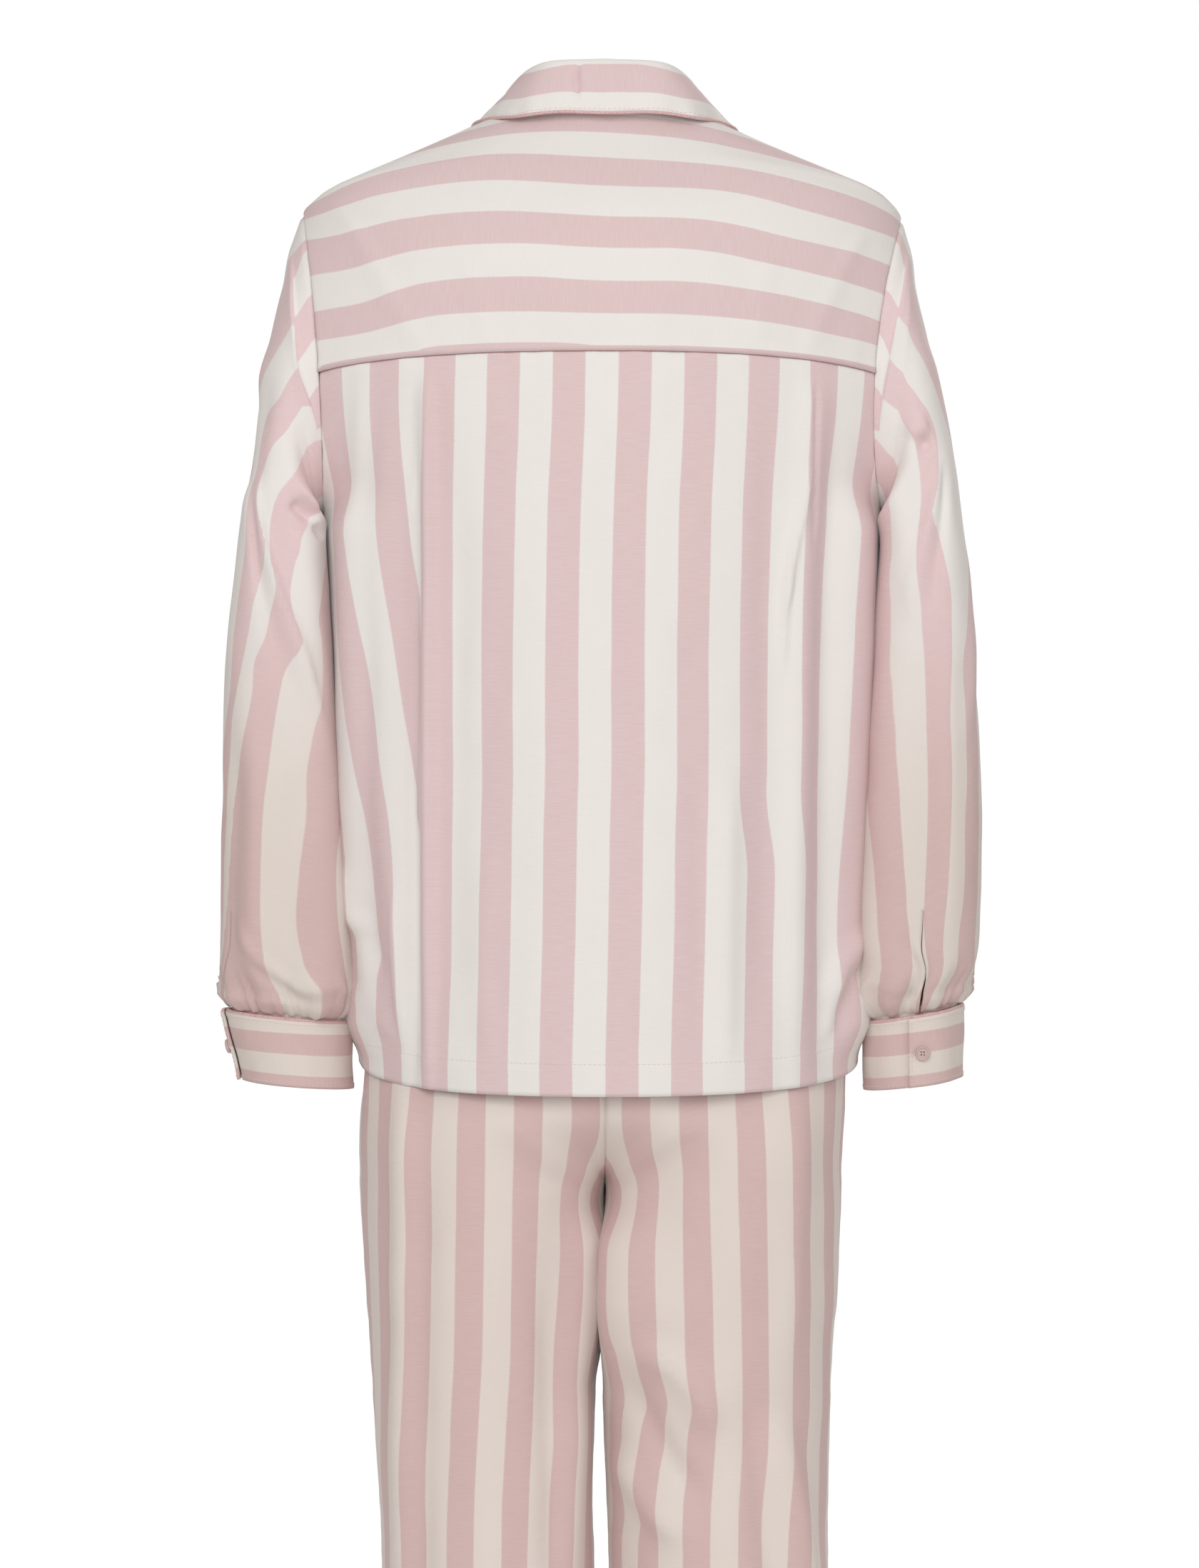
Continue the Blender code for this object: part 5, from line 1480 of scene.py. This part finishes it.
def sleeve_stripes(side, up, arcs, line):
    """Metres across the stripes on a row: read between the listed edges, measured on beyond
    them, with breaks at the underarm seam and at the edge of the cap's roll."""
    share = 1 - up

    def stripe_at(turn):
        down = sleeve_down(side, turn, share)
        within = CAP_STRIPES_FROM[side] < turn < CAP_ROLL_ENDS[1] - 3
        table = CAP_STRIPES[side] if within and share < CAP_ROLL_SHARE else SLEEVE_STRIPES[side]
        edges = [read(table, "down", down, name) for name in EDGE_COLUMNS[side][1:]]
        metres = read(ARM_GIRTH, "down", down, "girth") / 360
        if turn <= edges[0]:
            wide = TOP_STRIPE_WIDE * (1 - ease((down - 0.16) / 0.12))
            outside = max(edges[0] - turn, 0.0)
            return SLEEVE_STRIPE - metres * (outside - min(outside, wide) * 0.55)
        if turn >= edges[-1]:
            return SLEEVE_STRIPE * len(edges) + (turn - edges[-1]) * metres
        low = max(i for i in range(len(edges) - 1) if edges[i] <= turn)
        part = (turn - edges[low]) / (edges[low + 1] - edges[low])
        return SLEEVE_STRIPE * (low + 1 + part)

    columns = len(line) - 1
    slit = slit_turn(side, share)
    seam_column = round((180 - slit) / 360 * columns)
    across = []
    for column in range(columns + 1):
        turn = slit + 360 * column / columns
        across.append((stripe_at(turn if column <= seam_column else turn - 360),
                       stripe_at(turn if column < seam_column else turn - 360)))
    return across


for side, side_name in SIDES.items():
    piece = cut_sheet(f"sleeve_cloth_{side_name}", (120, 200), partial(sleeve_sheet_point, side),
                      partial(sleeve_sheet_relief, side), SLEEVE_COTTON, CLOTH,
                      flip=(side == RIGHT), stripe_row=partial(sleeve_stripes, side),
                      joined=lambda u: 1 - u <= SLIT_START)
    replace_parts(piece, f"sleeve_{side_name}")


# ---------------------------------------------------------------- cuffs
# Straight bands of doubled cotton with the stripes round the wrist; one end laps over the
# other beside the slit. A pink piping is sewn in between sleeve and cuff.

CUFF_LAP_TURN = 38.0
CUFF_LAP_OUT = 0.0034
CUFF_HEIGHT = 0.046
CUFF_RIM, CUFF_RIM_IN = 0.0005, 0.0015
CUFF_WAVES = ((0.0010, 30, 40, 30, 50), (0.0004, 90, 60, 90, 52))


def cuff_sheet_point(side, around, down):
    """Cuff band: a full turn and a lap, the lapping end lying outside the start."""
    cuff = CUFFS[side]
    turned = (360 + CUFF_LAP_TURN) * around
    turn = cuff["start_turn"] + turned
    out = CUFF_LAP_OUT * ease((turned - 330) / 40)
    return cuff_point(side, turn, down, inset=-out)


def cuff_relief(side, around, up, point):
    edge = min(up, 1 - up) * CUFF_HEIGHT
    return waves(CUFF_WAVES, point, side) + CUFF_RIM * bell(edge - CUFF_RIM_IN, CUFF_RIM_IN)


# The cuffs carry the painted shade all over.
CUFF_COTTON = striped_cotton("cuff_cotton", 0.0145, -0.0060, PAINTED_SHADE)
cuffs = {}
for side, side_name in SIDES.items():
    piece = cut_sheet(f"cuff_cloth_{side_name}", (130, 22),
                      lambda a, u, side=side: cuff_sheet_point(side, a, 1 - u),
                      partial(cuff_relief, side), CUFF_COTTON, BAND, stripes_along="up",
                      flip=(side == RIGHT))
    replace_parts(piece, f"cuff_{side_name}")
    cuffs[side] = piece
    rim = []
    for around in steps(0.03, 0.985, 120):
        spot = cuff_sheet_point(side, around, 0.0)
        inward = (cuff_point(side, 0, 0) + cuff_point(side, 180, 0)) / 2 - spot
        inward.z = 0.0
        spot += inward.normalized() * PIPING_RADIUS
        spot.z += PIPING_RADIUS * 0.6
        rim.append(spot)
    stitched(f"cuff_stitches_{side_name}", piece,
             *([cuff_sheet_point(side, around, down) for around in steps(0.02, 0.985, 120)]
               for down in (0.050, 0.945)),
             [cuff_sheet_point(side, 0.9905, down) for down in steps(0.06, 0.94, 12)])
    cord = piping(f"cuff_cord_{side_name}", rim)
    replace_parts(cord, f"cuff_piping_{side_name}")


# ---------------------------------------------------------------- trousers
# Four panels, stripes lengthwise: two backs and two fronts, joined at the centre seams, the
# side seams and the inner legs, with a turned and stitched hem.

TROUSER_HEM_Z = -1.466
CROTCH_TOP_Z = -0.585
CROTCH_Z = -0.697
TROUSER_WAIST_Z = -0.385
SEAT = rows(
    ("z", LEFT, RIGHT, "back_depth", "front_depth"),
    (-0.700, 0.1690, 0.1625, 0.1100, 0.0990),
    (-0.660, 0.1688, 0.1650, 0.1140, 0.1010),
    (-0.610, 0.1640, 0.1655, 0.1165, 0.1030),
    (-0.560, 0.1630, 0.1640, 0.1185, 0.1045),
    (-0.480, 0.1570, 0.1570, 0.1130, 0.1030),
    (-0.385, 0.1400, 0.1400, 0.0990, 0.0960),
)
LEGS = rows(
    ("z", ("outer", LEFT), ("outer", RIGHT), ("inner", LEFT), ("inner", RIGHT),
     "back_depth", "front_depth"),
    (-1.466, 0.1520, 0.1520, 0.0100, 0.0070, 0.0700, 0.0700),
    (-1.200, 0.1530, 0.1530, 0.0090, 0.0050, 0.0740, 0.0740),
    (-0.965, 0.1544, 0.1540, 0.0074, 0.0024, 0.0800, 0.0780),
    (-0.917, 0.1558, 0.1540, 0.0088, 0.0008, 0.0820, 0.0800),
    (-0.867, 0.1588, 0.1550, 0.0073, -0.0012, 0.0860, 0.0830),
    (-0.835, 0.1606, 0.1556, 0.0060, -0.0018, 0.0900, 0.0855),
    (-0.805, 0.1625, 0.1572, 0.0014, -0.0024, 0.0942, 0.0883),
    (-0.768, 0.1650, 0.1600, -0.0008, -0.0008, 0.1000, 0.0920),
    (-0.730, 0.1672, 0.1615, -0.0006, -0.0006, 0.1045, 0.0952),
    (-0.697, 0.1690, 0.1625, 0.0006, 0.0006, 0.1080, 0.0980),
)
# Below the crotch the inner legs lie one behind the other: how far forward each inner line is.
INNER_LEG_Y = rows(
    ("z", LEFT, RIGHT),
    (-0.870, 0.0000, 0.0000), (-0.835, 0.0080, -0.0080), (-0.805, 0.0180, -0.0180),
    (-0.768, 0.0240, -0.0240), (-0.730, 0.0180, -0.0180), (-0.697, 0.0030, -0.0030),
    (-0.680, 0.0000, 0.0000),
)
TROUSER_ROWS = rows(
    ("up", "z", "fork"),
    (0.00, -1.466, 90.0), (0.18, -1.260, 90.0), (0.36, -1.050, 90.0), (0.50, -0.890, 90.0),
    (0.60, -0.775, 90.0), (0.66, -0.697, 90.0), (0.80, -0.585, 0.0), (0.90, -0.485, 0.0),
    (1.00, -0.385, 0.0),
)


def fullest(leg_share):
    """Greatest value of the seat's and the leg's mixed squares, which keeps the depth full."""
    if leg_share <= 0.2:
        return 1 - leg_share
    high = (1 + 3 * leg_share) / (8 * leg_share)
    return (1 - leg_share) * high + 4 * leg_share * high * (1 - high)


def trouser_point(side, panel, across, up):
    """Trouser panel: panel -1 back or 1 front; across from the inner edge to the side seam."""
    low = max(i for i in range(len(TROUSER_ROWS) - 1) if TROUSER_ROWS[i]["up"] <= up)
    here, there = TROUSER_ROWS[low], TROUSER_ROWS[low + 1]
    share = (up - here["up"]) / (there["up"] - here["up"])
    fork = math.radians(mix(here["fork"], there["fork"], share))
    if 0 < fork < math.pi / 2:
        z = mix(CROTCH_TOP_Z, CROTCH_Z, math.sin(fork))
    else:
        z = mix(here["z"], there["z"], share)
    leg_share = math.sin(fork) ** 2
    depth_name = "back_depth" if panel < 0 else "front_depth"
    seat_turn = math.radians(90 * across)
    leg_turn = math.radians(180 * across)
    outer = read(LEGS, "z", z, ("outer", side))
    inner = read(LEGS, "z", z, ("inner", side))
    seat_x = read(SEAT, "z", z, side) * math.sin(seat_turn)
    leg_x = mix(inner, outer, (1 - math.cos(leg_turn)) / 2)
    depth = mix(read(SEAT, "z", z, depth_name), read(LEGS, "z", z, depth_name), leg_share)
    fullness = mix(math.cos(seat_turn) ** 2, math.sin(leg_turn) ** 2, leg_share)
    y = panel * depth * math.sqrt(max(fullness, 0.0) / fullest(leg_share))
    y += read(INNER_LEG_Y, "z", z, side) * ease(1 - 2 * across)
    return Vector((side * mix(seat_x, leg_x, leg_share), y, z))


CROTCH_SOFT = {"reach": 0.030, "up": 0.675, "width": 0.05, "across": 0.45, "least": 0.35}
CROTCH_SOFT_TAPS = ((-1.0, 0.12), (-0.5, 0.23), (0.0, 0.30), (0.5, 0.23), (1.0, 0.12))
SEAM_OVERLAP = 0.0012


def trouser_sheet_point(side, panel, across, up):
    """Trouser cloth: drawn smooth at the crotch, its edges meeting inside the seams."""
    inner = max(1 - ease(across / CROTCH_SOFT["across"]), CROTCH_SOFT["least"])
    reach = CROTCH_SOFT["reach"] * bell(up - CROTCH_SOFT["up"], CROTCH_SOFT["width"]) * inner
    point = Vector()
    for step, weight in CROTCH_SOFT_TAPS:
        at = min(max(up + step * reach, 0.0), 1.0)
        point += weight * trouser_point(side, panel, across, at)
    if point.z > CROTCH_Z:
        at_seam = 1 - ease(across / 0.03)
        point.x -= side * SEAM_OVERLAP * at_seam
        point.y -= panel * SEAM_OVERLAP * at_seam
    return point


# Folds of the trousers: s is the place across (m, outwards), t the height (m).
TROUSER_FOLDS = {
    (LEFT, -1): rows(
        FOLD_COLUMNS,
        (0.138, -0.640, 0.141, -0.980, 0.0090, 0.0050, 0.003, 0.2),
        (0.124, -0.660, 0.126, -1.000, 0.0090, -0.0030, 0.0, 0.0),
        (0.020, -0.720, 0.026, -0.960, 0.0090, 0.0045, 0.002, 0.0),
        (0.040, -0.760, 0.034, -0.980, 0.0080, -0.0028, 0.0, 0.0),
        (0.006, -0.690, 0.070, -0.640, 0.0100, 0.0020, 0.004, 0.0),
        (0.080, -0.900, 0.070, -1.300, 0.0140, 0.0030, 0.004, 0.0),
        (0.020, -1.050, 0.120, -1.090, 0.0120, -0.0030, 0.006, 0.0),
        (0.120, -1.100, 0.110, -1.440, 0.0120, 0.0040, 0.0, 0.0),
    ),
    (RIGHT, -1): rows(
        FOLD_COLUMNS,
        (0.030, -0.800, 0.075, -0.850, 0.0100, 0.0055, -0.006, 0.3),
        (0.020, -0.830, 0.060, -0.900, 0.0090, -0.0040, 0.004, 0.0),
        (0.012, -0.880, 0.050, -0.930, 0.0100, 0.0045, 0.004, 0.0),
        (0.122, -0.860, 0.142, -0.990, 0.0110, 0.0050, 0.0, 0.2),
        (0.100, -0.840, 0.118, -0.990, 0.0100, -0.0030, 0.0, 0.0),
        (0.130, -0.640, 0.124, -0.820, 0.0100, 0.0030, 0.0, 0.0),
        (0.006, -0.690, 0.070, -0.640, 0.0100, 0.0020, -0.004, 0.0),
        (0.080, -0.950, 0.070, -1.300, 0.0140, 0.0030, 0.004, 0.0),
        (0.030, -1.070, 0.120, -1.060, 0.0120, -0.0030, 0.006, 0.0),
        (0.120, -1.100, 0.110, -1.440, 0.0120, 0.0040, 0.0, 0.0),
    ),
    (LEFT, 1): rows(
        FOLD_COLUMNS,
        (0.070, -0.640, 0.080, -1.000, 0.0140, 0.0040, 0.004, 0.2),
        (0.010, -0.690, 0.090, -0.620, 0.0110, 0.0030, 0.004, 0.0),
        (0.110, -0.900, 0.105, -1.400, 0.0130, 0.0035, 0.0, 0.0),
        (0.020, -1.060, 0.110, -1.080, 0.0120, -0.0030, 0.004, 0.0),
        (0.040, -1.100, 0.060, -1.440, 0.0130, 0.0030, 0.0, 0.0),
    ),
    (RIGHT, 1): rows(
        FOLD_COLUMNS,
        (0.076, -0.650, 0.072, -1.050, 0.0140, 0.0040, -0.004, 0.2),
        (0.010, -0.690, 0.090, -0.625, 0.0110, 0.0030, 0.004, 0.0),
        (0.115, -0.950, 0.105, -1.400, 0.0130, 0.0035, 0.0, 0.0),
        (0.025, -1.080, 0.105, -1.050, 0.0120, -0.0030, 0.004, 0.0),
        (0.045, -1.130, 0.055, -1.440, 0.0130, 0.0030, 0.0, 0.0),
    ),
}


# The inner legs are pressed flat against each other down to the gap.
LEG_PRESS = {"across": 0.17, "width": 0.11, "height": 0.0115, "back_z": -0.705,
             "front_z": -0.660, "foot_z": -0.835}


def leg_press(panel, across, z):
    bulge = bell(across - LEG_PRESS["across"], LEG_PRESS["width"])
    start = LEG_PRESS["back_z"] if panel < 0 else LEG_PRESS["front_z"]
    shown = ease((start - z) / 0.035) * ease((z - LEG_PRESS["foot_z"]) / 0.07)
    return LEG_PRESS["height"] * bulge * shown * ease(across / 0.05)


FOLDS_PRESSED = 1.35


def trouser_relief(side, panel, across, up, point):
    hidden = ease((point.z - CROTCH_TOP_Z - 0.02) / 0.02)
    edges = ease(across / 0.10) * ease((1 - across) / 0.08)
    height = FOLDS_PRESSED * fold_height(TROUSER_FOLDS[side, panel], abs(point.x), point.z) * edges
    height += 0.0034 * ripple(point.x * 14, point.z * 6, panel, 60 + side) * edges
    height += 0.0016 * ripple(point.x * 38, point.z * 20, panel, 62 + side) * edges
    height *= 1 - hidden
    height += leg_press(panel, across, point.z)
    seam = min(across, 1 - across) * 0.22
    height += pucker(point.z, seam, 64 + panel, 0.0006)
    hem = point.z - TROUSER_HEM_Z
    height += HEM_STEP * ease((HEM_DEPTH - hem) / 0.001)
    return height + seam_dip(seam)


# The stripes keep to the height of the leg: how far out a pink stripe starts, near the middle
# of each leg, and how far the stripes lean out on the way down (m).
TROUSER_STRIPE = 0.0193
STRIPE_ANCHOR = 0.080
TROUSER_STRIPES = rows(
    ("z", LEFT, RIGHT),
    (-1.466, 0.0090, 0.0000), (-1.100, 0.0090, 0.0000), (-0.920, 0.0090, 0.0010),
    (-0.860, 0.0060, 0.0040), (-0.800, 0.0030, 0.0030), (-0.700, 0.0010, 0.0000),
    (-0.630, 0.0000, -0.0020),
)


def trouser_stripes(side, up, arcs, line):
    """Metres across the stripes on a row, counted from the anchor line."""
    middle = line[len(line) // 2]
    anchor = STRIPE_ANCHOR + read(TROUSER_STRIPES, "z", middle.z, side)
    low = max((i for i in range(len(line) - 1) if side * line[i].x <= anchor), default=0)
    inner, outer = side * line[low].x, side * line[low + 1].x
    zero = mix(arcs[low], arcs[low + 1], (anchor - inner) / max(outer - inner, 1e-6))
    return [(arc - zero, arc - zero) for arc in arcs]


LEG_HEM_UP = HEM_DEPTH * TROUSER_ROWS[1]["up"] / (TROUSER_ROWS[1]["z"] - TROUSER_HEM_Z)
# Both legs carry painted shade all over, darker and warmer than the jacket; the waistband shares
# it.
TROUSER_COTTON = {LEFT: striped_cotton("trouser_cotton_left", TROUSER_STRIPE, 0.0, LEG_PAINTED_SHADE),
                  RIGHT: striped_cotton("trouser_cotton_right", TROUSER_STRIPE, 0.0095, LEG_PAINTED_SHADE)}
for side, side_name in SIDES.items():
    for panel, panel_name in ((-1, "back"), (1, "front")):
        piece = cut_sheet(f"trouser_{panel_name}_cloth_{side_name}", (56, 200),
                          partial(trouser_sheet_point, side, panel),
                          partial(trouser_relief, side, panel), TROUSER_COTTON[side], CLOTH,
                          flip=(side * panel > 0), stripe_row=partial(trouser_stripes, side))
        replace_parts(piece, f"trouser_{panel_name}_{side_name}")
        stitched(f"leg_stitches_{panel_name}_{side_name}", piece,
                 [trouser_point(side, panel, across, LEG_HEM_UP)
                  for across in steps(0.01, 0.99, 50)])


# ---------------------------------------------------------------- waistband
# An elastic band in a tunnel of the same cotton, gathered all round, hidden by the jacket.

WAISTBAND_HEIGHT = 0.035
WAIST_GATHERS = 46


def waistband_point(around, up):
    """Elastic waistband: a closed band that stands on the trousers' upper edge."""
    turn = math.radians(360 * around)
    z = TROUSER_WAIST_Z + 2 * SEAM_GAP + WAISTBAND_HEIGHT * up
    depth = SEAT[-1]["back_depth"] if math.cos(turn) > 0 else SEAT[-1]["front_depth"]
    narrow = 1 - 0.03 * up
    return Vector((SEAT[-1][RIGHT] * narrow * math.sin(turn), -depth * narrow * math.cos(turn), z))


def waistband_relief(around, up, point):
    gather = math.cos(2 * math.pi * WAIST_GATHERS * around + 2 * ripple(around * 30, 0, 0, 70))
    return 0.0010 * gather * math.sin(math.pi * up)


waistband = cut_sheet("waistband_cloth", (300, 12), waistband_point, waistband_relief,
                      TROUSER_COTTON[LEFT], BAND, middle=0.0, joined=lambda u: True)
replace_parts(waistband, "waistband")
stitched("waistband_stitches", waistband,
         *([waistband_point(around, up) for around in steps(0.0, 1.0, 120)]
           for up in (0.12, 0.50, 0.88)))


# ---------------------------------------------------------------- buttons
# Flat pink buttons, dished, with four holes, sewn on with pink thread.

BUTTON_THICKNESS = 0.0024
BUTTON_OUT = 0.0020
BUTTON_SIDES = 40
BUTTON_LINE = LAP / (LAP + FRONT_WIDTH)
CUFF_BUTTON_DOWN = 0.52
FRONT_BUTTON_DIAMETER = 0.0125
CUFF_BUTTON_DIAMETER = 0.0100
FRONT_BUTTON_UPS = (0.630, 0.495, 0.360, 0.225, 0.090)

BUTTON_PINK = mottled("button_pink", {"Roughness": 0.32, "Coat Weight": 0.2}, 180.0,
                      (0.0, (0.50, 0.37, 0.34)), (1.0, (0.68, 0.53, 0.50)))
BUTTON_THREAD = sewing_thread("button_thread_pink", (0.62, 0.40, 0.39))
BUTTONHOLE_LENGTH = 0.0140
BUTTONHOLE_BARS = 17
BUTTONHOLE_STITCH = {"beside": 0.0007, "length": 0.0012, "end": 0.0026, "radius": 0.00036}
# Each hole's radius and its place, as shares of the button's radius, and the height of the
# dished face as a share of half the thickness.
HOLE_RADIUS, HOLE_OUT = 0.13, 0.27
FACE_LOW = 0.45


def cuff_button_around(side):
    """How far round the band the button lies, on the lapping end."""
    cuff = CUFFS[side]
    return (360 + cuff["button_turn"] - cuff["start_turn"]) / (360 + CUFF_LAP_TURN)


def buttonhole(bm, tree, centre, along):
    """Two rows of close crosswise stitches beside the slit, with a bar at each end."""
    along = along.normalized()
    for step in range(-1, BUTTONHOLE_BARS + 1):
        share = step / (BUTTONHOLE_BARS - 1) - 0.5
        spot, normal, _, _ = tree.find_nearest(centre + along * BUTTONHOLE_LENGTH * share)
        across = normal.cross(along).normalized()
        for row in (-1, 1) if 0 <= step < BUTTONHOLE_BARS else (0,):
            beside = spot + across * row * BUTTONHOLE_STITCH["beside"]
            thread_bar(bm, beside + normal * THREAD_RADIUS * 0.6, across, normal,
                       BUTTONHOLE_STITCH["length" if row else "end"], BUTTONHOLE_STITCH["radius"])


def button(name, node, centre, facing, diameter):
    """A turned disc with a raised rim and a dished face, then four holes and its thread."""
    radius = diameter / 2
    half = BUTTON_THICKNESS / 2
    profile = ((0.0, -half), (radius * 0.90, -half), (radius, -half * 0.5), (radius, half * 0.5),
               (radius * 0.92, half), (radius * 0.78, half), (radius * 0.66, half * FACE_LOW),
               (0.0, half * FACE_LOW))
    bm = bmesh.new()
    verts = [bm.verts.new((x, 0.0, z)) for x, z in profile]
    edges = [bm.edges.new(pair) for pair in zip(verts, verts[1:])]
    bmesh.ops.spin(bm, geom=verts + edges, cent=(0, 0, 0), axis=(0, 0, 1), angle=2 * math.pi,
                   steps=BUTTON_SIDES, use_merge=True)
    bmesh.ops.remove_doubles(bm, verts=bm.verts, dist=MERGE)
    bmesh.ops.recalc_face_normals(bm, faces=bm.faces)
    disc = in_scene(name, mesh_of(name, bm))
    cutters = []
    for quarter in range(4):
        turn = math.radians(45 + 90 * quarter)
        bm = bmesh.new()
        bmesh.ops.create_cone(bm, cap_ends=True, segments=12, radius1=radius * HOLE_RADIUS,
                              radius2=radius * HOLE_RADIUS, depth=4 * half)
        bmesh.ops.translate(bm, verts=bm.verts, vec=(radius * HOLE_OUT * math.cos(turn),
                                                     radius * HOLE_OUT * math.sin(turn), 0.0))
        cutter = in_scene("hole", mesh_of("hole", bm))
        drill = disc.modifiers.new("hole", "BOOLEAN")
        drill.object = cutter
        drill.operation = "DIFFERENCE"
        cutters.append(cutter)
    done = bpy.data.meshes.new_from_object(
        disc.evaluated_get(bpy.context.evaluated_depsgraph_get()))
    for spent in cutters + [disc]:
        bpy.data.objects.remove(spent, do_unlink=True)
    bm = bmesh.new()
    bm.from_mesh(done)
    turned = facing.to_track_quat("Z", "Y").to_matrix().to_4x4()
    turned.translation = centre
    bmesh.ops.transform(bm, matrix=turned, verts=bm.verts)
    bm.to_mesh(done)
    bm.free()
    done.shade_smooth()
    done.set_sharp_from_angle(angle=math.radians(35))
    done.materials.clear()
    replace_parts(add_piece(name, done, BUTTON_PINK), node)
    bm = bmesh.new()
    face = turned.to_3x3()
    for row in (-1, 1):
        for layer in (-1, 1):
            place = Vector((layer * radius * 0.035, row * radius * 0.19, half * FACE_LOW + 0.0002))
            thread_bar(bm, turned @ place, face @ Vector((1.0, 0.0, 0.0)), facing,
                       radius * 0.46, 0.00028)
    sewn(f"{name}_thread", bm, BUTTON_THREAD)


hole_thread = bmesh.new()
front_tree = surface_of(fronts[RIGHT])
for up in FRONT_BUTTON_UPS:
    spot = front_point(RIGHT, BUTTON_LINE, up)
    buttonhole(hole_thread, front_tree, spot, front_point(RIGHT, BUTTON_LINE, up + 0.01) - spot)
for side in SIDES:
    lap = cuff_button_around(side)
    spot = cuff_sheet_point(side, lap + 0.006, CUFF_BUTTON_DOWN)
    buttonhole(hole_thread, surface_of(cuffs[side]), spot,
               cuff_sheet_point(side, lap + 0.012, CUFF_BUTTON_DOWN) - spot)
sewn("buttonhole_stitches", hole_thread)

for number, up in enumerate(FRONT_BUTTON_UPS, start=1):
    facing = front_normal(RIGHT, BUTTON_LINE, up)
    centre = front_point(RIGHT, BUTTON_LINE, up) + facing * BUTTON_OUT
    button(f"front_disc_{number}", f"front_button_{number}", centre, facing,
           FRONT_BUTTON_DIAMETER)

for side, side_name in SIDES.items():
    lap = cuff_button_around(side)
    spot = cuff_sheet_point(side, lap, CUFF_BUTTON_DOWN)
    round_way = (cuff_sheet_point(side, lap + 0.01, CUFF_BUTTON_DOWN)
                 - cuff_sheet_point(side, lap - 0.01, CUFF_BUTTON_DOWN))
    down_way = cuff_sheet_point(side, lap, 0.6) - cuff_sheet_point(side, lap, 0.4)
    facing = round_way.cross(down_way).normalized()
    centre_line = (cuff_point(side, 0, 0.5) + cuff_point(side, 180, 0.5)) / 2
    if facing.dot(spot - centre_line) < 0:
        facing = -facing
    button(f"cuff_disc_{side_name}", f"cuff_button_{side_name}",
           spot + facing * BUTTON_OUT, facing, CUFF_BUTTON_DIAMETER)
